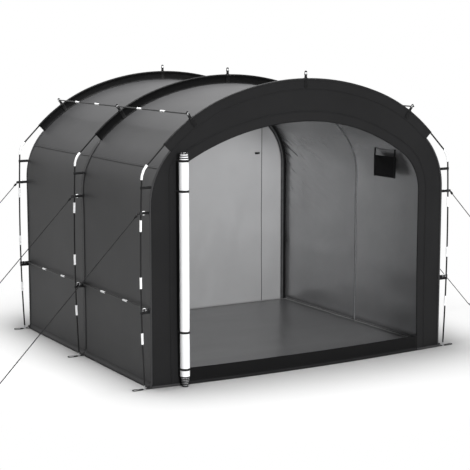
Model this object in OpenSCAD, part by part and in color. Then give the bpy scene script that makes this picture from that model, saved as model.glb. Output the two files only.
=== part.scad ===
// Barrel-arch fabric bike shelter on three bent hoops, with a rolled-up front door.
// Millimetres. The origin is the middle of the floor, +Z is up and -Y is the doorway side.

/* [Fabric shell] */
// Width over the side walls
fabric_w = 2744; // [2500:1:3000]
// Distance from the front hoop to the back hoop
depth = 2450; // [2000:1:3000]
// Height of the roof fabric at the middle of the arch
roof_apex_z = 2238; // [2150:1:2350]
// Radius of the roof over the crown, as a share of the width
crown_share = 0.743; // [0.7:0.001:0.8]
// Angle from the middle at which the crown turns into the shoulder
crown_angle = 20; // [15:1:25]
// Radius of the roof over the shoulders, as a share of the width
shoulder_share = 0.5026; // [0.46:0.0001:0.53]
// Angle at which the sleeves end and the corner curve starts
sleeve_angle = 45; // [42:1:48]
// Angle of the seam between the roof and the side walls
seam_angle = 60; // [54:1:75]
// Thickness of a fabric panel
fabric_t = 3; // [2:0.5:5]
// Thickness of the floor sheet
floor_t = 3; // [2:0.5:6]
// Gap left at a seam between two panels
seam_gap = 0.3; // [0.1:0.1:1]

/* [Hem] */
// Height of the hem along the side walls
hem_h = 36; // [20:1:60]
// How far the hem flares out at the ground
hem_flare = 18; // [5:1:30]

/* [Doorway] */
// Half the width of the doorway
door_half_w = 1132; // [1000:1:1200]
// Height of the doorway at its middle
door_apex_z = 1980; // [1900:1:2005]
// Radius of the doorway's top on its free side
door_crown_r = 1725; // [1600:1:1850]
// Radius of the doorway's upper corner on its free side
door_corner_r = 390; // [340:1:430]
// Radius of the doorway's top on the side of the roll
hinge_crown_r = 2184; // [2000:1:2400]
// Radius of the doorway's upper corner on the side of the roll
hinge_corner_r = 80; // [40:1:150]
// Distance from the corner curves down to the top of the panels beside the doorway
panel_drop = 20; // [5:1:60]
// Height of the sill strip
sill_h = 108; // [80:1:130]
// Height of the hem under the sill strip
sill_hem_h = 22; // [12:1:30]
// How far the hem stands in front of the sill strip
sill_hem_step = 5; // [4:1:10]
// How far the sill bows out at its middle
sill_bow = 46; // [20:1:80]

/* [Hoops] */
// Diameter of the hoop poles
pole_d = 13; // [9:0.5:14]
// Distance from the roof fabric to the middle of the pole
pole_off = 67; // [50:1:90]
// Distance from the side wall to the middle of the pole under the elbow
elbow_gap = 67; // [56:1:80]
// Bend radius of the elbow, at the middle of the pole
elbow_r = 158; // [120:1:190]
// Outward lean of the leg where it leaves the elbow
leg_flare = 2.4; // [1:0.1:4]
// Distance from the side wall to the middle of the foot
foot_gap = 59; // [50:1:68]
// Height of the foot pin under the pole
pin_h = 34; // [24:1:50]
// Diameter of the foot pin
pin_d = 7; // [5:0.5:9]
// Thickness of the collar on a foot pin
pin_collar_t = 4; // [2:0.5:6]
// Outer diameter of the pole ferrules
ferrule_d = 18; // [16:0.5:22]
// Length of the leg ferrules
ferrule_len = 85; // [50:1:110]
// Height of the lowest leg ferrule
ferrule_low_z = 395; // [305:1:440]
// Height of the middle leg ferrule
ferrule_mid_z = 820; // [735:1:905]
// Distance from the elbow down to the upper leg ferrule
ferrule_top_drop = 342; // [310:1:420]
// Clearance between a pole and a tube around it
pole_clear = 0.3; // [0.2:0.1:0.4]

/* [Sleeves] */
// Outer diameter of the pole tunnel along the sleeve's edge
tunnel_d = 20; // [18:0.5:24]
// Thickness of the sleeve's web
web_t = 4; // [2:0.5:6]

/* [Spacer poles] */
// Diameter of the spacer poles
spacer_d = 11; // [8:0.5:12]
// Outer diameter of the spacer ferrules
spacer_ferrule_d = 16; // [14:0.5:20]
// Length of the spacer ferrules
spacer_ferrule_len = 72; // [50:1:90]
// How far a spacer pole stands past the end hoops
spacer_end = 24; // [14:1:40]
// Angle of the roof spacers from the middle of the shoulder curve
spacer_angle = 33.4; // [28:0.1:38]
// Height of the roof spacers above the sleeve's edge
spacer_rise = 38; // [32:1:45]
// Height of the wall spacers
wall_spacer_z = 612; // [535:1:680]
// Distance from the side wall to the middle of the wall spacer
wall_spacer_off = 18; // [15:1:26]

/* [Clips and straps] */
// Width of the upright clips on the sleeves
clip_w = 24; // [22:0.5:28]
// Thickness of the upright clips along the depth
clip_t = 10; // [6:0.5:14]
// Outer diameter of the ring in an upright clip
ring_d = 17; // [15:0.5:19]
// Distance from the elbow down to the upper leg straps
strap_drop = 59; // [40:1:90]
// Distance from the elbow down to the guy clips
guy_drop = 248; // [220:1:280]
// Width of the leg webbing
strap_w = 22; // [16:1:30]
// Thickness of the leg webbing
strap_t = 4; // [3:0.5:6]
// Outer diameter of the webbing loops round the legs
loop_d = 21; // [19:0.5:26]
// Length of the webbing loop outside each foot
foot_loop = 92; // [60:1:120]
// Thickness of the foot webbing
foot_web_t = 3; // [2:0.5:4]

/* [Guy lines] */
// Diameter of the guy lines
guy_d = 6; // [3:0.5:8]
// Distance of the pegs outside the legs
guy_reach = 1315; // [1000:1:1500]
// Height of a peg above the ground
peg_h = 24; // [16:1:40]
// Diameter of a peg
peg_d = 7; // [5:0.5:10]
// Thickness of a peg's collar
peg_collar_t = 3; // [2:0.5:5]
// Height of a guy line's loop on its peg, as a share of the peg's height
guy_low_share = 0.5; // [0.4:0.05:0.7]
// Distance from the loop of a guy clip to the middle of its eye
guy_eye = 9; // [7:0.5:14]
// Clearance round a guy line in its eye
guy_eye_clear = 0.5; // [0.2:0.1:1]
// Diameter of the cord that loops through the eye, as a share of the guy line's
eye_cord_share = 0.9; // [0.7:0.05:0.95]

/* [Rolled door] */
// Diameter of the rolled-up door
roll_d = 75; // [60:1:90]
// Length of the roll
roll_len = 1781; // [1655:1:1835]
// Distance from the middle of the roll to the front fabric
roll_front = 60; // [52:1:80]
// Distance from the doorway's edge to the middle of the roll
roll_side = 16; // [10:1:30]
// Length over which each end of the roll steps in
roll_end = 52; // [40:1:90]
// Number of steps at each end of the roll
roll_steps = 3; // [2:1:4]
// Thickness that the roll loses at each step, on both sides together
roll_layer = 9; // [5:0.5:12]
// Width of a door tie
tie_w = 14; // [8:1:24]
// Thickness of a door tie
tie_t = 3; // [2:0.5:4]
// Height of the lowest door tie
tie_low_z = 135; // [110:1:175]
// Height of the second door tie
tie_second_z = 421; // [355:1:475]
// Height of the third door tie
tie_third_z = 1495; // [1405:1:1525]
// Distance from the roll's stepped top end down to the top door tie
tie_top_gap = 1; // [0:1:60]

/* [Inside] */
// Width of the storage pocket
pocket_w = 310; // [240:1:360]
// Height of the storage pocket
pocket_h = 182; // [140:1:220]
// Thickness of the storage pocket
pocket_t = 16; // [8:1:24]
// Height of the bottom of the storage pocket
pocket_z = 1412; // [1345:1:1435]
// Distance from the front hoop to the pocket
pocket_y = 515; // [400:1:700]
// Height at which the pocket straps meet the wall
pocket_strap_z = 1659; // [1640:1:1675]
// Width of the pocket straps
pocket_strap_w = 24; // [16:1:32]
// Width of the dark band along the back wall's edge
band_w = 48; // [30:1:60]
// Thickness of the dark band
band_t = 2; // [1:0.5:4]
// Width of the small loop on the back wall
tab_w = 55; // [40:1:70]
// Height of the small loop on the back wall
tab_h = 30; // [20:1:40]
// Distance of the small loop from the side wall
tab_side = 329; // [290:1:460]
// Height of the small loop above the floor
tab_z = 1495; // [1355:1:1535]

/* [Hidden] */
$fn = 64;
half_w = fabric_w / 2;
hoop_y = [-depth / 2, 0, depth / 2];
front_y = hoop_y[0];
back_y = hoop_y[2];
sides = [-1, 1];
bays = [0, 1];

// Number of steps in a full turn that keeps a curve true to within the tolerance
curve_tol = 0.02;
function smooth_turn(r) = ceil(180 / acos(1 - curve_tol / r));

// Turn at a radius that is as long as the seam gap
function gap_turn(r) = seam_gap / r * 180 / PI;

// A point at an angle from straight up, turning towards +X
function polar(c, r, a) = [c[0] + r * sin(a), c[1] + r * cos(a)];

// Curve of the roof fabric, as three arcs that run into each other
crown_r = fabric_w * crown_share;
shoulder_r = fabric_w * shoulder_share;
crown_c = [0, roof_apex_z - crown_r];
shoulder_start = polar(crown_c, crown_r, crown_angle);
shoulder_c = polar(shoulder_start, -shoulder_r, crown_angle);
corner_start = polar(shoulder_c, shoulder_r, sleeve_angle);
corner_r = (half_w - corner_start[0]) / (1 - sin(sleeve_angle));
corner_c = polar(corner_start, -corner_r, sleeve_angle);
wall_top_z = corner_c[1];

// Points along an arc from one angle to another, and lists of points turned over
arc_step = 1.5;
function arc_count(a0, a1) = ceil(abs(a1 - a0) / arc_step);
function arc(c, r, a0, a1) = let (n = arc_count(a0, a1)) [
    for (i = [0 : n]) polar(c, r, a0 + (a1 - a0) * i / n)
];
function after_first(list) = [for (i = [1 : len(list) - 1]) list[i]];
function reversed(list) = [for (i = [len(list) - 1 : -1 : 0]) list[i]];
function flipped(list) = [for (p = reversed(list)) [-p[0], p[1]]];
function whole(right) = concat(right, after_first(flipped(right)));

// Roof curve moved in by a distance, from an angle on the right over to the left
function roof_right(inset, from) = concat(
    arc(corner_c, corner_r - inset, from, sleeve_angle),
    after_first(arc(shoulder_c, shoulder_r - inset, sleeve_angle, crown_angle)),
    after_first(arc(crown_c, crown_r - inset, crown_angle, 0))
);
function roof_curve(inset, from) = whole(roof_right(inset, from));

// Outline of the shell from the front, moved in by a distance, from a height up
function shell_outline(inset, z) = concat(
    [[half_w - inset, z]], roof_curve(inset, 90), [[inset - half_w, z]]
);

// Distance of the corner curve at a height, and of the side wall's outer face
function corner_x(z, r) = corner_c[0] + sqrt(r * r - pow(z - corner_c[1], 2));
function wall_x(z) = z > wall_top_z ? corner_x(z, corner_r) : half_w;

// Curve of the hoop pole below the sleeve
run_start = polar(shoulder_c, shoulder_r + pole_off, sleeve_angle);
elbow_angle = 90 - leg_flare;
elbow_reach = elbow_r * (sin(elbow_angle) - sin(sleeve_angle));
pole_run = (half_w + elbow_gap - run_start[0] - elbow_reach) / cos(sleeve_angle);
elbow_start = run_start + pole_run * [cos(sleeve_angle), -sin(sleeve_angle)];
elbow_c = polar(elbow_start, -elbow_r, sleeve_angle);
leg_start = polar(elbow_c, elbow_r, elbow_angle);
foot = [half_w + foot_gap, pin_h];
leg_chord = foot - leg_start;
leg_half_turn = atan2(-leg_chord[1], leg_chord[0]) - elbow_angle;
leg_r = norm(leg_chord) / (2 * sin(leg_half_turn));
leg_c = polar(leg_start, -leg_r, elbow_angle);
leg_end_angle = elbow_angle + 2 * leg_half_turn;

// Heights of the pieces that hang on the leg under its elbow
strap_z = leg_start[1] - strap_drop;
guy_clip_z = leg_start[1] - guy_drop;
ferrule_top_z = leg_start[1] - ferrule_top_drop;

// Angle and distance of the leg's middle line at a height
function leg_angle(z) = acos((z - leg_c[1]) / leg_r);
function leg_x(z) = leg_c[0] + leg_r * sin(leg_angle(z));

// Middle of a doorway corner that runs into the crown arc above it
function door_corner(crown, corner) = let (x = door_half_w - corner, reach = crown - corner) [
    x, door_apex_z - crown + sqrt(reach * reach - x * x)
];

// Half of the doorway's outline, from the top of its jamb to the middle, as if it lay on the right
function door_half(crown, corner) =
    let (c = door_corner(crown, corner), turn = asin(c[0] / (crown - corner)))
    concat(
        arc(c, corner, 90, turn),
        after_first(arc([0, door_apex_z - crown], crown, turn, 0))
    );
function door_curve() = concat(
    door_half(door_crown_r, door_corner_r),
    after_first(flipped(door_half(hinge_crown_r, hinge_corner_r)))
);

// Tops of the straight jambs, and of the panels beside the doorway
free_jamb_z = door_corner(door_crown_r, door_corner_r)[1];
hinge_jamb_z = door_corner(hinge_crown_r, hinge_corner_r)[1];
panel_top_z = min(free_jamb_z, hinge_jamb_z, wall_top_z) - panel_drop;

// Sill curve in plan
sill_r = (pow(door_half_w, 2) + pow(sill_bow, 2)) / (2 * sill_bow);
sill_steps = 24;
function sill_y(x, off) = front_y + sill_r - sill_bow - sqrt(pow(sill_r + off, 2) - x * x);

// Sleeve edge, clips and spacers
sleeve_top = pole_off + tunnel_d / 2;
clip_ring = sleeve_top + spacer_rise;
clip_top = clip_ring + clip_w / 2;
clip_seat = sleeve_top + seam_gap;
pole_bore = pole_d + 2 * pole_clear;
spacer_bore = spacer_d + 2 * pole_clear;
roof_spacer = polar(shoulder_c, shoulder_r + clip_ring, spacer_angle);
wall_spacer_x = half_w + wall_spacer_off;
ferrule_z = [ferrule_low_z, ferrule_mid_z, ferrule_top_z];
ferrule_shares = [1 / 3, 2 / 3];

// Rolled door
roll_x = -door_half_w + roll_side;
roll_y = front_y - fabric_t / 2 - roll_front;
tie_top_z = roll_len - roll_end - tie_top_gap - tie_w / 2;
tie_z = [tie_low_z, tie_second_z, tie_third_z, tie_top_z];

// Guy lines
guy_eye_bore = guy_d + 2 * guy_eye_clear;
guy_from = [leg_x(guy_clip_z) + loop_d / 2 + guy_eye, guy_clip_z];
eye_cord = guy_d * eye_cord_share;
eye_rim_w = (strap_w - guy_eye_bore) / 2;
eye_loop_mid = (strap_w + guy_eye_bore) / 4;
eye_loop_r = norm([eye_rim_w, strap_t]) / 2 + seam_gap + eye_cord / 2;
peg_x = leg_x(guy_clip_z) + guy_reach;
guy_low_z = peg_h * guy_low_share;

fabric_grey = "#4a4a4c";
front_grey = "#38383a";
sleeve_black = "#1c1c1e";
pole_black = "#161616";
webbing_black = "#141414";
ferrule_white = "#e9eaec";
lining_silver = "#a9abae";
door_white = "#dedfe2";
steel = "#b5b8bc";

// Sweeps a section about a centre in the XZ plane: section X is the radius, section Y the depth
module arc_sweep(c, r, a0, a1) {
    translate([c[0], 0, c[1]])
        rotate([90, 0, 0])
            rotate(90 - a1)
                rotate_extrude(angle = a1 - a0, $fn = smooth_turn(r))
                    children();
}

module both_sides() {
    for (side = sides)
        scale_side(side)
            children();
}

module scale_side(side) {
    mirror([side < 0 ? 1 : 0, 0, 0])
        children();
}

// Stands a flat outline up in the XZ plane, from y0 to y1
module upright(y0, y1) {
    translate([0, y1, 0])
        rotate([90, 0, 0])
            linear_extrude(y1 - y0)
                children();
}

module floor_sheet() {
    inset = fabric_t + seam_gap;
    color(lining_silver)
        translate([-half_w + inset, front_y + inset, 0])
            cube([fabric_w - 2 * inset, depth - 2 * inset, floor_t]);
}

// Inner and outer edges of a panel that runs from one hoop to the next
function bay_start(bay) = bay == 0 ? front_y + fabric_t / 2 + seam_gap : seam_gap / 2;
function bay_end(bay) = bay == 0 ? -seam_gap / 2 : back_y - fabric_t / 2 - seam_gap;

// Side wall with its flared hem, up to the seam under the roof
module side_wall(side, bay) {
    y0 = bay_start(bay);
    y1 = bay_end(bay);
    hem_x = half_w + hem_flare;
    color(fabric_grey)
        scale_side(side) {
            upright(y0, y1)
                polygon([
                    [half_w - fabric_t, wall_top_z], [half_w - fabric_t, hem_h],
                    [hem_x - fabric_t, 0], [hem_x, 0], [half_w, hem_h], [half_w, wall_top_z]
                ]);
            arc_sweep(corner_c, corner_r, seam_angle + gap_turn(corner_r), 90)
                translate([corner_r - fabric_t, -y1])
                    square([fabric_t, y1 - y0]);
        }
}

module roof_panel(bay) {
    color(fabric_grey)
        upright(bay_start(bay), bay_end(bay))
            polygon(concat(roof_curve(0, seam_angle), reversed(roof_curve(fabric_t, seam_angle))));
}

module back_wall() {
    color(lining_silver)
        upright(back_y - fabric_t / 2, back_y + fabric_t / 2)
            polygon(shell_outline(0, 0));
}

// Fabric beside the doorway
module front_panel(side) {
    color(front_grey)
        scale_side(side)
            translate([door_half_w, front_y - fabric_t / 2, 0])
                cube([half_w - door_half_w, fabric_t, panel_top_z - seam_gap]);
}

// Arched fabric above the doorway
module front_fascia() {
    color(front_grey)
        upright(front_y - fabric_t / 2, front_y + fabric_t / 2)
            polygon(concat(
                shell_outline(0, panel_top_z), [[-door_half_w, panel_top_z]],
                reversed(door_curve()), [[door_half_w, panel_top_z]]
            ));
}

// Bowed strip across the foot of the doorway, with a hem that stands proud of it
module door_sill() {
    color(sleeve_black) {
        linear_extrude(sill_h + sill_hem_h)
            sill_plan(fabric_t / 2);
        linear_extrude(sill_hem_h)
            sill_plan(sill_hem_step);
    }
}

// Plan of the sill, from its inner face to a distance in front of its middle line
module sill_plan(outer) {
    half_len = door_half_w - seam_gap;
    across = [for (i = [0 : sill_steps]) half_len * (2 * i / sill_steps - 1)];
    front = [for (x = across) [x, sill_y(x, outer)]];
    back = [for (i = [sill_steps : -1 : 0]) [across[i], sill_y(across[i], -fabric_t / 2)]];
    polygon(concat(front, back));
}

// Sweeps a section along the roof in three lengths that meet end to end
module along_sleeve() {
    gap = gap_turn(shoulder_r);
    arc_sweep(crown_c, crown_r, -crown_angle, crown_angle)
        translate([crown_r, 0])
            children();
    both_sides()
        arc_sweep(shoulder_c, shoulder_r, crown_angle + gap, sleeve_angle)
            translate([shoulder_r, 0])
                children();
}

// Upright web with the pole tunnel along its outer edge, sewn in three lengths
module sleeve(hoop) {
    color(hoop == 0 ? front_grey : sleeve_black)
        translate([0, hoop_y[hoop], 0])
            along_sleeve()
                difference() {
                    union() {
                        translate([seam_gap, -web_t / 2])
                            square([pole_off - seam_gap, web_t]);
                        translate([pole_off, 0])
                            circle(d = tunnel_d);
                    }
                    translate([pole_off, 0])
                        circle(d = pole_bore);
                }
}

// Pole sections inside a sleeve
module crown_pole(hoop) {
    color(pole_black)
        translate([0, hoop_y[hoop], 0])
            along_sleeve()
                translate([pole_off, 0])
                    circle(d = pole_d);
}

// Straight pole sections between the sleeves and the elbows
module shoulder_poles() {
    color(pole_black)
        every_leg()
            translate([run_start[0], 0, run_start[1]])
                rotate([0, 90 + sleeve_angle, 0])
                    translate([0, 0, seam_gap])
                        cylinder(d = pole_d, h = pole_run - 2 * seam_gap);
}

// Pole from an elbow down to the foot
module leg(hoop, side) {
    color(pole_black)
        scale_side(side)
            translate([0, hoop_y[hoop], 0])
                arc_sweep(leg_c, leg_r, elbow_angle + gap_turn(leg_r), leg_end_angle)
                    translate([leg_r, 0])
                        circle(d = pole_d);
}

// Ring section of a tube whose middle line runs at a radius
module tube_section(r, outer, bore) {
    difference() {
        translate([r, 0])
            circle(d = outer);
        translate([r, 0])
            circle(d = bore);
    }
}

module every_leg() {
    for (y = hoop_y)
        translate([0, y, 0])
            both_sides()
                children();
}

// Bent socket pieces that join the shoulder poles to the legs
module elbow_ferrules() {
    color(ferrule_white)
        every_leg()
            arc_sweep(elbow_c, elbow_r, sleeve_angle, elbow_angle)
                translate([elbow_r, 0])
                    circle(d = ferrule_d);
}

module leg_ferrules() {
    half_turn = ferrule_len / leg_r * 90 / PI;
    color(ferrule_white)
        every_leg()
            for (z = ferrule_z)
                arc_sweep(leg_c, leg_r, leg_angle(z) - half_turn, leg_angle(z) + half_turn)
                    tube_section(leg_r, ferrule_d, pole_bore);
}

// Straight pole along the depth that keeps the hoops apart
module spacer(x, z) {
    color(pole_black)
        translate([x, back_y + spacer_end, z])
            rotate([90, 0, 0])
                cylinder(d = spacer_d, h = depth + 2 * spacer_end);
}

module roof_spacer_pole(side) {
    spacer(side * roof_spacer[0], roof_spacer[1]);
}

module wall_spacer_pole(side) {
    spacer(side * wall_spacer_x, wall_spacer_z);
}

module spacer_ferrules() {
    bay_len = depth / 2;
    color(ferrule_white)
        both_sides()
            for (p = [roof_spacer, [wall_spacer_x, wall_spacer_z]], bay = bays, share = ferrule_shares)
                translate([p[0], hoop_y[bay] + share * bay_len + spacer_ferrule_len / 2, p[1]])
                    rotate([90, 0, 0])
                        linear_extrude(spacer_ferrule_len)
                            tube_section(0, spacer_ferrule_d, spacer_bore);
}

// Upright webbing clip on the sleeve's edge, with a hole for its ring
module clip_outline() {
    difference() {
        union() {
            translate([-clip_w / 2, clip_seat])
                square([clip_w, clip_ring - clip_seat]);
            translate([0, clip_ring])
                circle(d = clip_w);
        }
        translate([0, clip_ring])
            circle(d = ring_d + 2 * pole_clear);
        translate([0, pole_off])
            circle(d = tunnel_d + 2 * seam_gap);
    }
}

// Places a clip or its ring on a hoop, standing out from an arc of the roof
module on_arc(c, r, a, y) {
    translate([c[0], y, c[1]])
        rotate([0, a, 0])
            translate([0, 0, r])
                children();
}

module every_shoulder() {
    for (y = hoop_y)
        both_sides()
            on_arc(shoulder_c, shoulder_r, spacer_angle, y)
                children();
}

module every_apex() {
    for (y = hoop_y)
        on_arc(crown_c, crown_r, 0, y)
            children();
}

module upright_clip() {
    upright(-clip_t / 2, clip_t / 2)
        clip_outline();
}

module apex_clips() {
    color(webbing_black)
        every_apex()
            upright_clip();
}

module shoulder_clips() {
    color(webbing_black)
        every_shoulder()
            upright_clip();
}

module clip_ring_piece() {
    upright(-clip_t / 2, clip_t / 2)
        translate([0, clip_ring])
            tube_section(0, ring_d, spacer_bore);
}

module clip_rings() {
    color(ferrule_white) {
        every_apex()
            clip_ring_piece();
        every_shoulder()
            clip_ring_piece();
    }
}

// Webbing from the wall to a loop round the leg, at a height
module leg_web(z) {
    x = leg_x(z);
    start = wall_x(z - strap_w / 2) + seam_gap;
    loop_bore = pole_bore + 2 * pole_clear + strap_w * sin(leg_flare);
    translate([0, 0, z - strap_w / 2])
        linear_extrude(strap_w)
            difference() {
                union() {
                    translate([start, -strap_t / 2])
                        square([x - start, strap_t]);
                    translate([x, 0])
                        circle(d = loop_d);
                }
                translate([x, 0])
                    circle(d = loop_bore);
            }
}

module leg_straps() {
    color(webbing_black)
        every_leg()
            leg_web(strap_z);
}

// Leg clip with an outward eye for the guy line
module guy_clips() {
    color(webbing_black)
        every_leg() {
            leg_web(guy_clip_z);
            guy_lug();
        }
}

// Flat eye on the outer side of a guy clip, in the plane of the hoop
module guy_lug() {
    inner = leg_x(guy_clip_z) + loop_d / 2 - strap_t / 2;
    upright(-strap_t / 2, strap_t / 2)
        difference() {
            union() {
                translate([inner, guy_clip_z - strap_w / 2])
                    square([guy_from[0] - inner, strap_w]);
                translate(guy_from)
                    circle(d = strap_w);
            }
            translate(guy_from)
                circle(d = guy_eye_bore);
        }
}

// Leg clip with a ring that carries the wall spacer
module wall_clips() {
    color(webbing_black)
        every_leg()
            difference() {
                leg_web(wall_spacer_z);
                translate([wall_spacer_x, -strap_w, wall_spacer_z])
                    rotate([-90, 0, 0])
                        cylinder(d = spacer_bore, h = 2 * strap_w);
            }
}

// Pin under each pole, with a collar that the pole stands on
module foot_pins() {
    color(steel)
        every_leg()
            translate([foot[0], 0, 0]) {
                cylinder(d = pin_d, h = pin_h - pin_collar_t);
                translate([0, 0, pin_h - pin_collar_t - seam_gap])
                    cylinder(d = pole_d, h = pin_collar_t);
            }
}

// Webbing on the ground, from the corner of the shell past the pin to a peg loop
module foot_webbing() {
    start = half_w + hem_flare + seam_gap - foot[0];
    eye = strap_w / 2;
    color(webbing_black)
        every_leg()
            translate([foot[0], 0, 0])
                linear_extrude(foot_web_t)
                    difference() {
                        union() {
                            translate([start, -strap_w / 4])
                                square([foot_loop - start, strap_w / 2]);
                            circle(d = strap_w);
                            translate([foot_loop, 0])
                                circle(d = strap_w);
                        }
                        circle(d = pin_d + 2 * pole_clear);
                        translate([foot_loop, 0])
                            circle(d = eye);
                    }
}

// Closed loop of cord about the Z axis
module cord_loop(r, d) {
    rotate_extrude()
        translate([r, 0])
            circle(d = d);
}

// Taut line from a loop through the eye of its clip to a loop round its peg
module guy_line() {
    peg_loop_r = peg_d / 2 + guy_d / 2 + seam_gap;
    run = [peg_x - peg_loop_r, guy_low_z] - guy_from;
    line_start = eye_loop_mid + eye_loop_r;
    color(webbing_black)
        for (y = hoop_y)
            translate([0, y, 0]) {
                translate([guy_from[0], 0, guy_from[1]])
                    rotate([0, atan2(run[0], run[1]), 0]) {
                        translate([0, 0, eye_loop_mid])
                            rotate([0, 90, 0])
                                cord_loop(eye_loop_r, eye_cord);
                        translate([0, 0, line_start])
                            cylinder(d = guy_d, h = norm(run) - line_start);
                    }
                translate([peg_x, 0, guy_low_z])
                    cord_loop(peg_loop_r, guy_d);
            }
}

module guy_lines(side) {
    scale_side(side)
        guy_line();
}

// Peg head with a collar that keeps the line down
module guy_pegs() {
    color(steel)
        every_leg()
            translate([peg_x, 0, 0]) {
                cylinder(d = peg_d, h = peg_h - peg_collar_t);
                translate([0, 0, peg_h - peg_collar_t])
                    cylinder(d = 2 * peg_d, h = peg_collar_t);
            }
}

// Door rolled up beside its jamb, with ends that step in layer by layer
module rolled_door() {
    step_len = roll_end / roll_steps;
    flap_x = roll_x - roll_d / 2;
    color(door_white) {
        translate([roll_x, roll_y, 0]) {
            translate([0, 0, roll_end])
                cylinder(d = roll_d, h = roll_len - 2 * roll_end);
            for (i = [1 : roll_steps])
                translate([0, 0, roll_end - i * step_len])
                    cylinder(d = roll_d - i * roll_layer, h = roll_len - 2 * (roll_end - i * step_len));
        }
        translate([flap_x, roll_y, roll_end])
            cube([fabric_t, front_y - fabric_t / 2 - seam_gap - roll_y, hinge_jamb_z - roll_end]);
    }
}

// Ties round the roll, held on the front fabric
module door_ties() {
    color(webbing_black)
        for (z = tie_z)
            translate([roll_x, roll_y, z - tie_w / 2])
                linear_extrude(tie_w)
                    tie_outline(roll_d / 2 + seam_gap);
}

// Strap round the roll that runs back to the fabric on both sides
module tie_outline(r) {
    back = front_y - fabric_t / 2 - seam_gap - roll_y;
    difference() {
        union() {
            circle(r + tie_t);
            translate([r - tie_t / 2, 0])
                square([tie_t, back]);
        }
        circle(r);
        translate([-r - 2 * tie_t, -tie_t])
            square([fabric_t + 3 * tie_t, back + tie_t]);
    }
}

// Pocket hung on the right wall
module storage_pocket() {
    x = pocket_face() - pocket_t;
    color(webbing_black)
        translate([x, front_y + pocket_y, pocket_z])
            cube([pocket_t, pocket_w, pocket_h]);
}

// Face of the pocket towards the wall: where its straps meet the corner curve
function pocket_face() = corner_x(pocket_strap_z, corner_r - fabric_t) - seam_gap;

module pocket_straps() {
    x = pocket_face();
    color(webbing_black)
        for (y = [0, pocket_w - pocket_strap_w])
            translate([x - strap_t, front_y + pocket_y + y, pocket_z + pocket_h])
                cube([strap_t, pocket_strap_w, pocket_strap_z - pocket_z - pocket_h]);
}

// Dark band along the back wall's edge, inside
module back_seam_band() {
    inset = fabric_t + seam_gap;
    y = back_y - fabric_t / 2 - seam_gap;
    color(webbing_black)
        upright(y - band_t, y)
            polygon(concat(
                shell_outline(inset, floor_t + seam_gap),
                reversed(shell_outline(inset + band_w, floor_t + seam_gap))
            ));
}

module back_wall_loop() {
    y = back_y - fabric_t / 2 - seam_gap;
    color(webbing_black)
        translate([half_w - tab_side - tab_w / 2, y - strap_t, tab_z - tab_h / 2])
            cube([tab_w, strap_t, tab_h]);
}

floor_sheet();
side_wall(-1, 0);  // left_wall_front
side_wall(-1, 1);  // left_wall_back
side_wall(1, 0);  // right_wall_front
side_wall(1, 1);  // right_wall_back
roof_panel(0);  // roof_front
roof_panel(1);  // roof_back
back_wall();
front_panel(-1);  // front_left_panel
front_panel(1);  // front_right_panel
front_fascia();
door_sill();
sleeve(0);  // front_sleeve
sleeve(1);  // middle_sleeve
sleeve(2);  // back_sleeve
crown_pole(0);  // front_crown_pole
crown_pole(1);  // middle_crown_pole
crown_pole(2);  // back_crown_pole
shoulder_poles();
leg(0, -1);  // front_left_leg
leg(0, 1);  // front_right_leg
leg(1, -1);  // middle_left_leg
leg(1, 1);  // middle_right_leg
leg(2, -1);  // back_left_leg
leg(2, 1);  // back_right_leg
elbow_ferrules();
leg_ferrules();
roof_spacer_pole(-1);  // left_roof_spacer
roof_spacer_pole(1);  // right_roof_spacer
wall_spacer_pole(-1);  // left_wall_spacer
wall_spacer_pole(1);  // right_wall_spacer
spacer_ferrules();
apex_clips();
shoulder_clips();
clip_rings();
leg_straps();
guy_clips();
wall_clips();
foot_pins();
foot_webbing();
guy_lines(-1);  // left_guy_lines
guy_lines(1);  // right_guy_lines
guy_pegs();
rolled_door();
door_ties();
storage_pocket();
pocket_straps();
back_seam_band();
back_wall_loop();
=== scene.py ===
"""Looks of the fabric bike shelter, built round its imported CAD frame.

Metres, +Z up. The doorway faces -Y and three hoops stand at HOOPS along the depth.
Fabric is made as thin closed sheets, webbing as narrow ones; poles and fittings are the CAD's own.
"""

import math

import bpy
import numpy as np
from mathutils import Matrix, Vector


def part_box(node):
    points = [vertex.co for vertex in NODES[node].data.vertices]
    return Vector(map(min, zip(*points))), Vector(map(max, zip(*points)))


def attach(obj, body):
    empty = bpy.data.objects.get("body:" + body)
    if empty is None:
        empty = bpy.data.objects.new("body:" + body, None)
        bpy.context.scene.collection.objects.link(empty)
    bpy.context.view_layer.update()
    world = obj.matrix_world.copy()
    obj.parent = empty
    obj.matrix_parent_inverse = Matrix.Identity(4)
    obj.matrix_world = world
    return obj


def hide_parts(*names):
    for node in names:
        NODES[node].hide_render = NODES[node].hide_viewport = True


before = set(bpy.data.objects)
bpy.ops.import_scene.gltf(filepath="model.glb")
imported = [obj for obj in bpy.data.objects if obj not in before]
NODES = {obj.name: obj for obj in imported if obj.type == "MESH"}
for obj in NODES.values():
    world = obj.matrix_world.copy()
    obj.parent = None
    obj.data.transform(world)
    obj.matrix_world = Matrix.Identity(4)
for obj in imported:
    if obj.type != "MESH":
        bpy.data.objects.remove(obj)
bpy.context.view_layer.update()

SCENE = bpy.context.scene
ALONG_X, ALONG_Y, UPRIGHT = np.eye(3)
FORWARD = -ALONG_Y
SIDES = (-1, 1)

# Shell
HALF_W = 1.372
HOOPS = (-1.225, 0.0, 1.225)
HOOP_WORDS = ("front", "middle", "back")
FRONT_Y, MIDDLE_Y, BACK_Y = HOOPS
POSTS = [(y, side) for y in HOOPS for side in SIDES]
ROOF_APEX = 2.238
CROWN_R = 2.0388
CROWN_TURN = math.radians(20)
SHOULDER_R = 1.3791
SLEEVE_TURN = math.radians(45)
CLIP_TURN = math.radians(33.4)
HEM_H = 0.036
HEM_FLARE = 0.018
FOOT_LIFT = 0.0011
INSET = 0.0015

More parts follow.
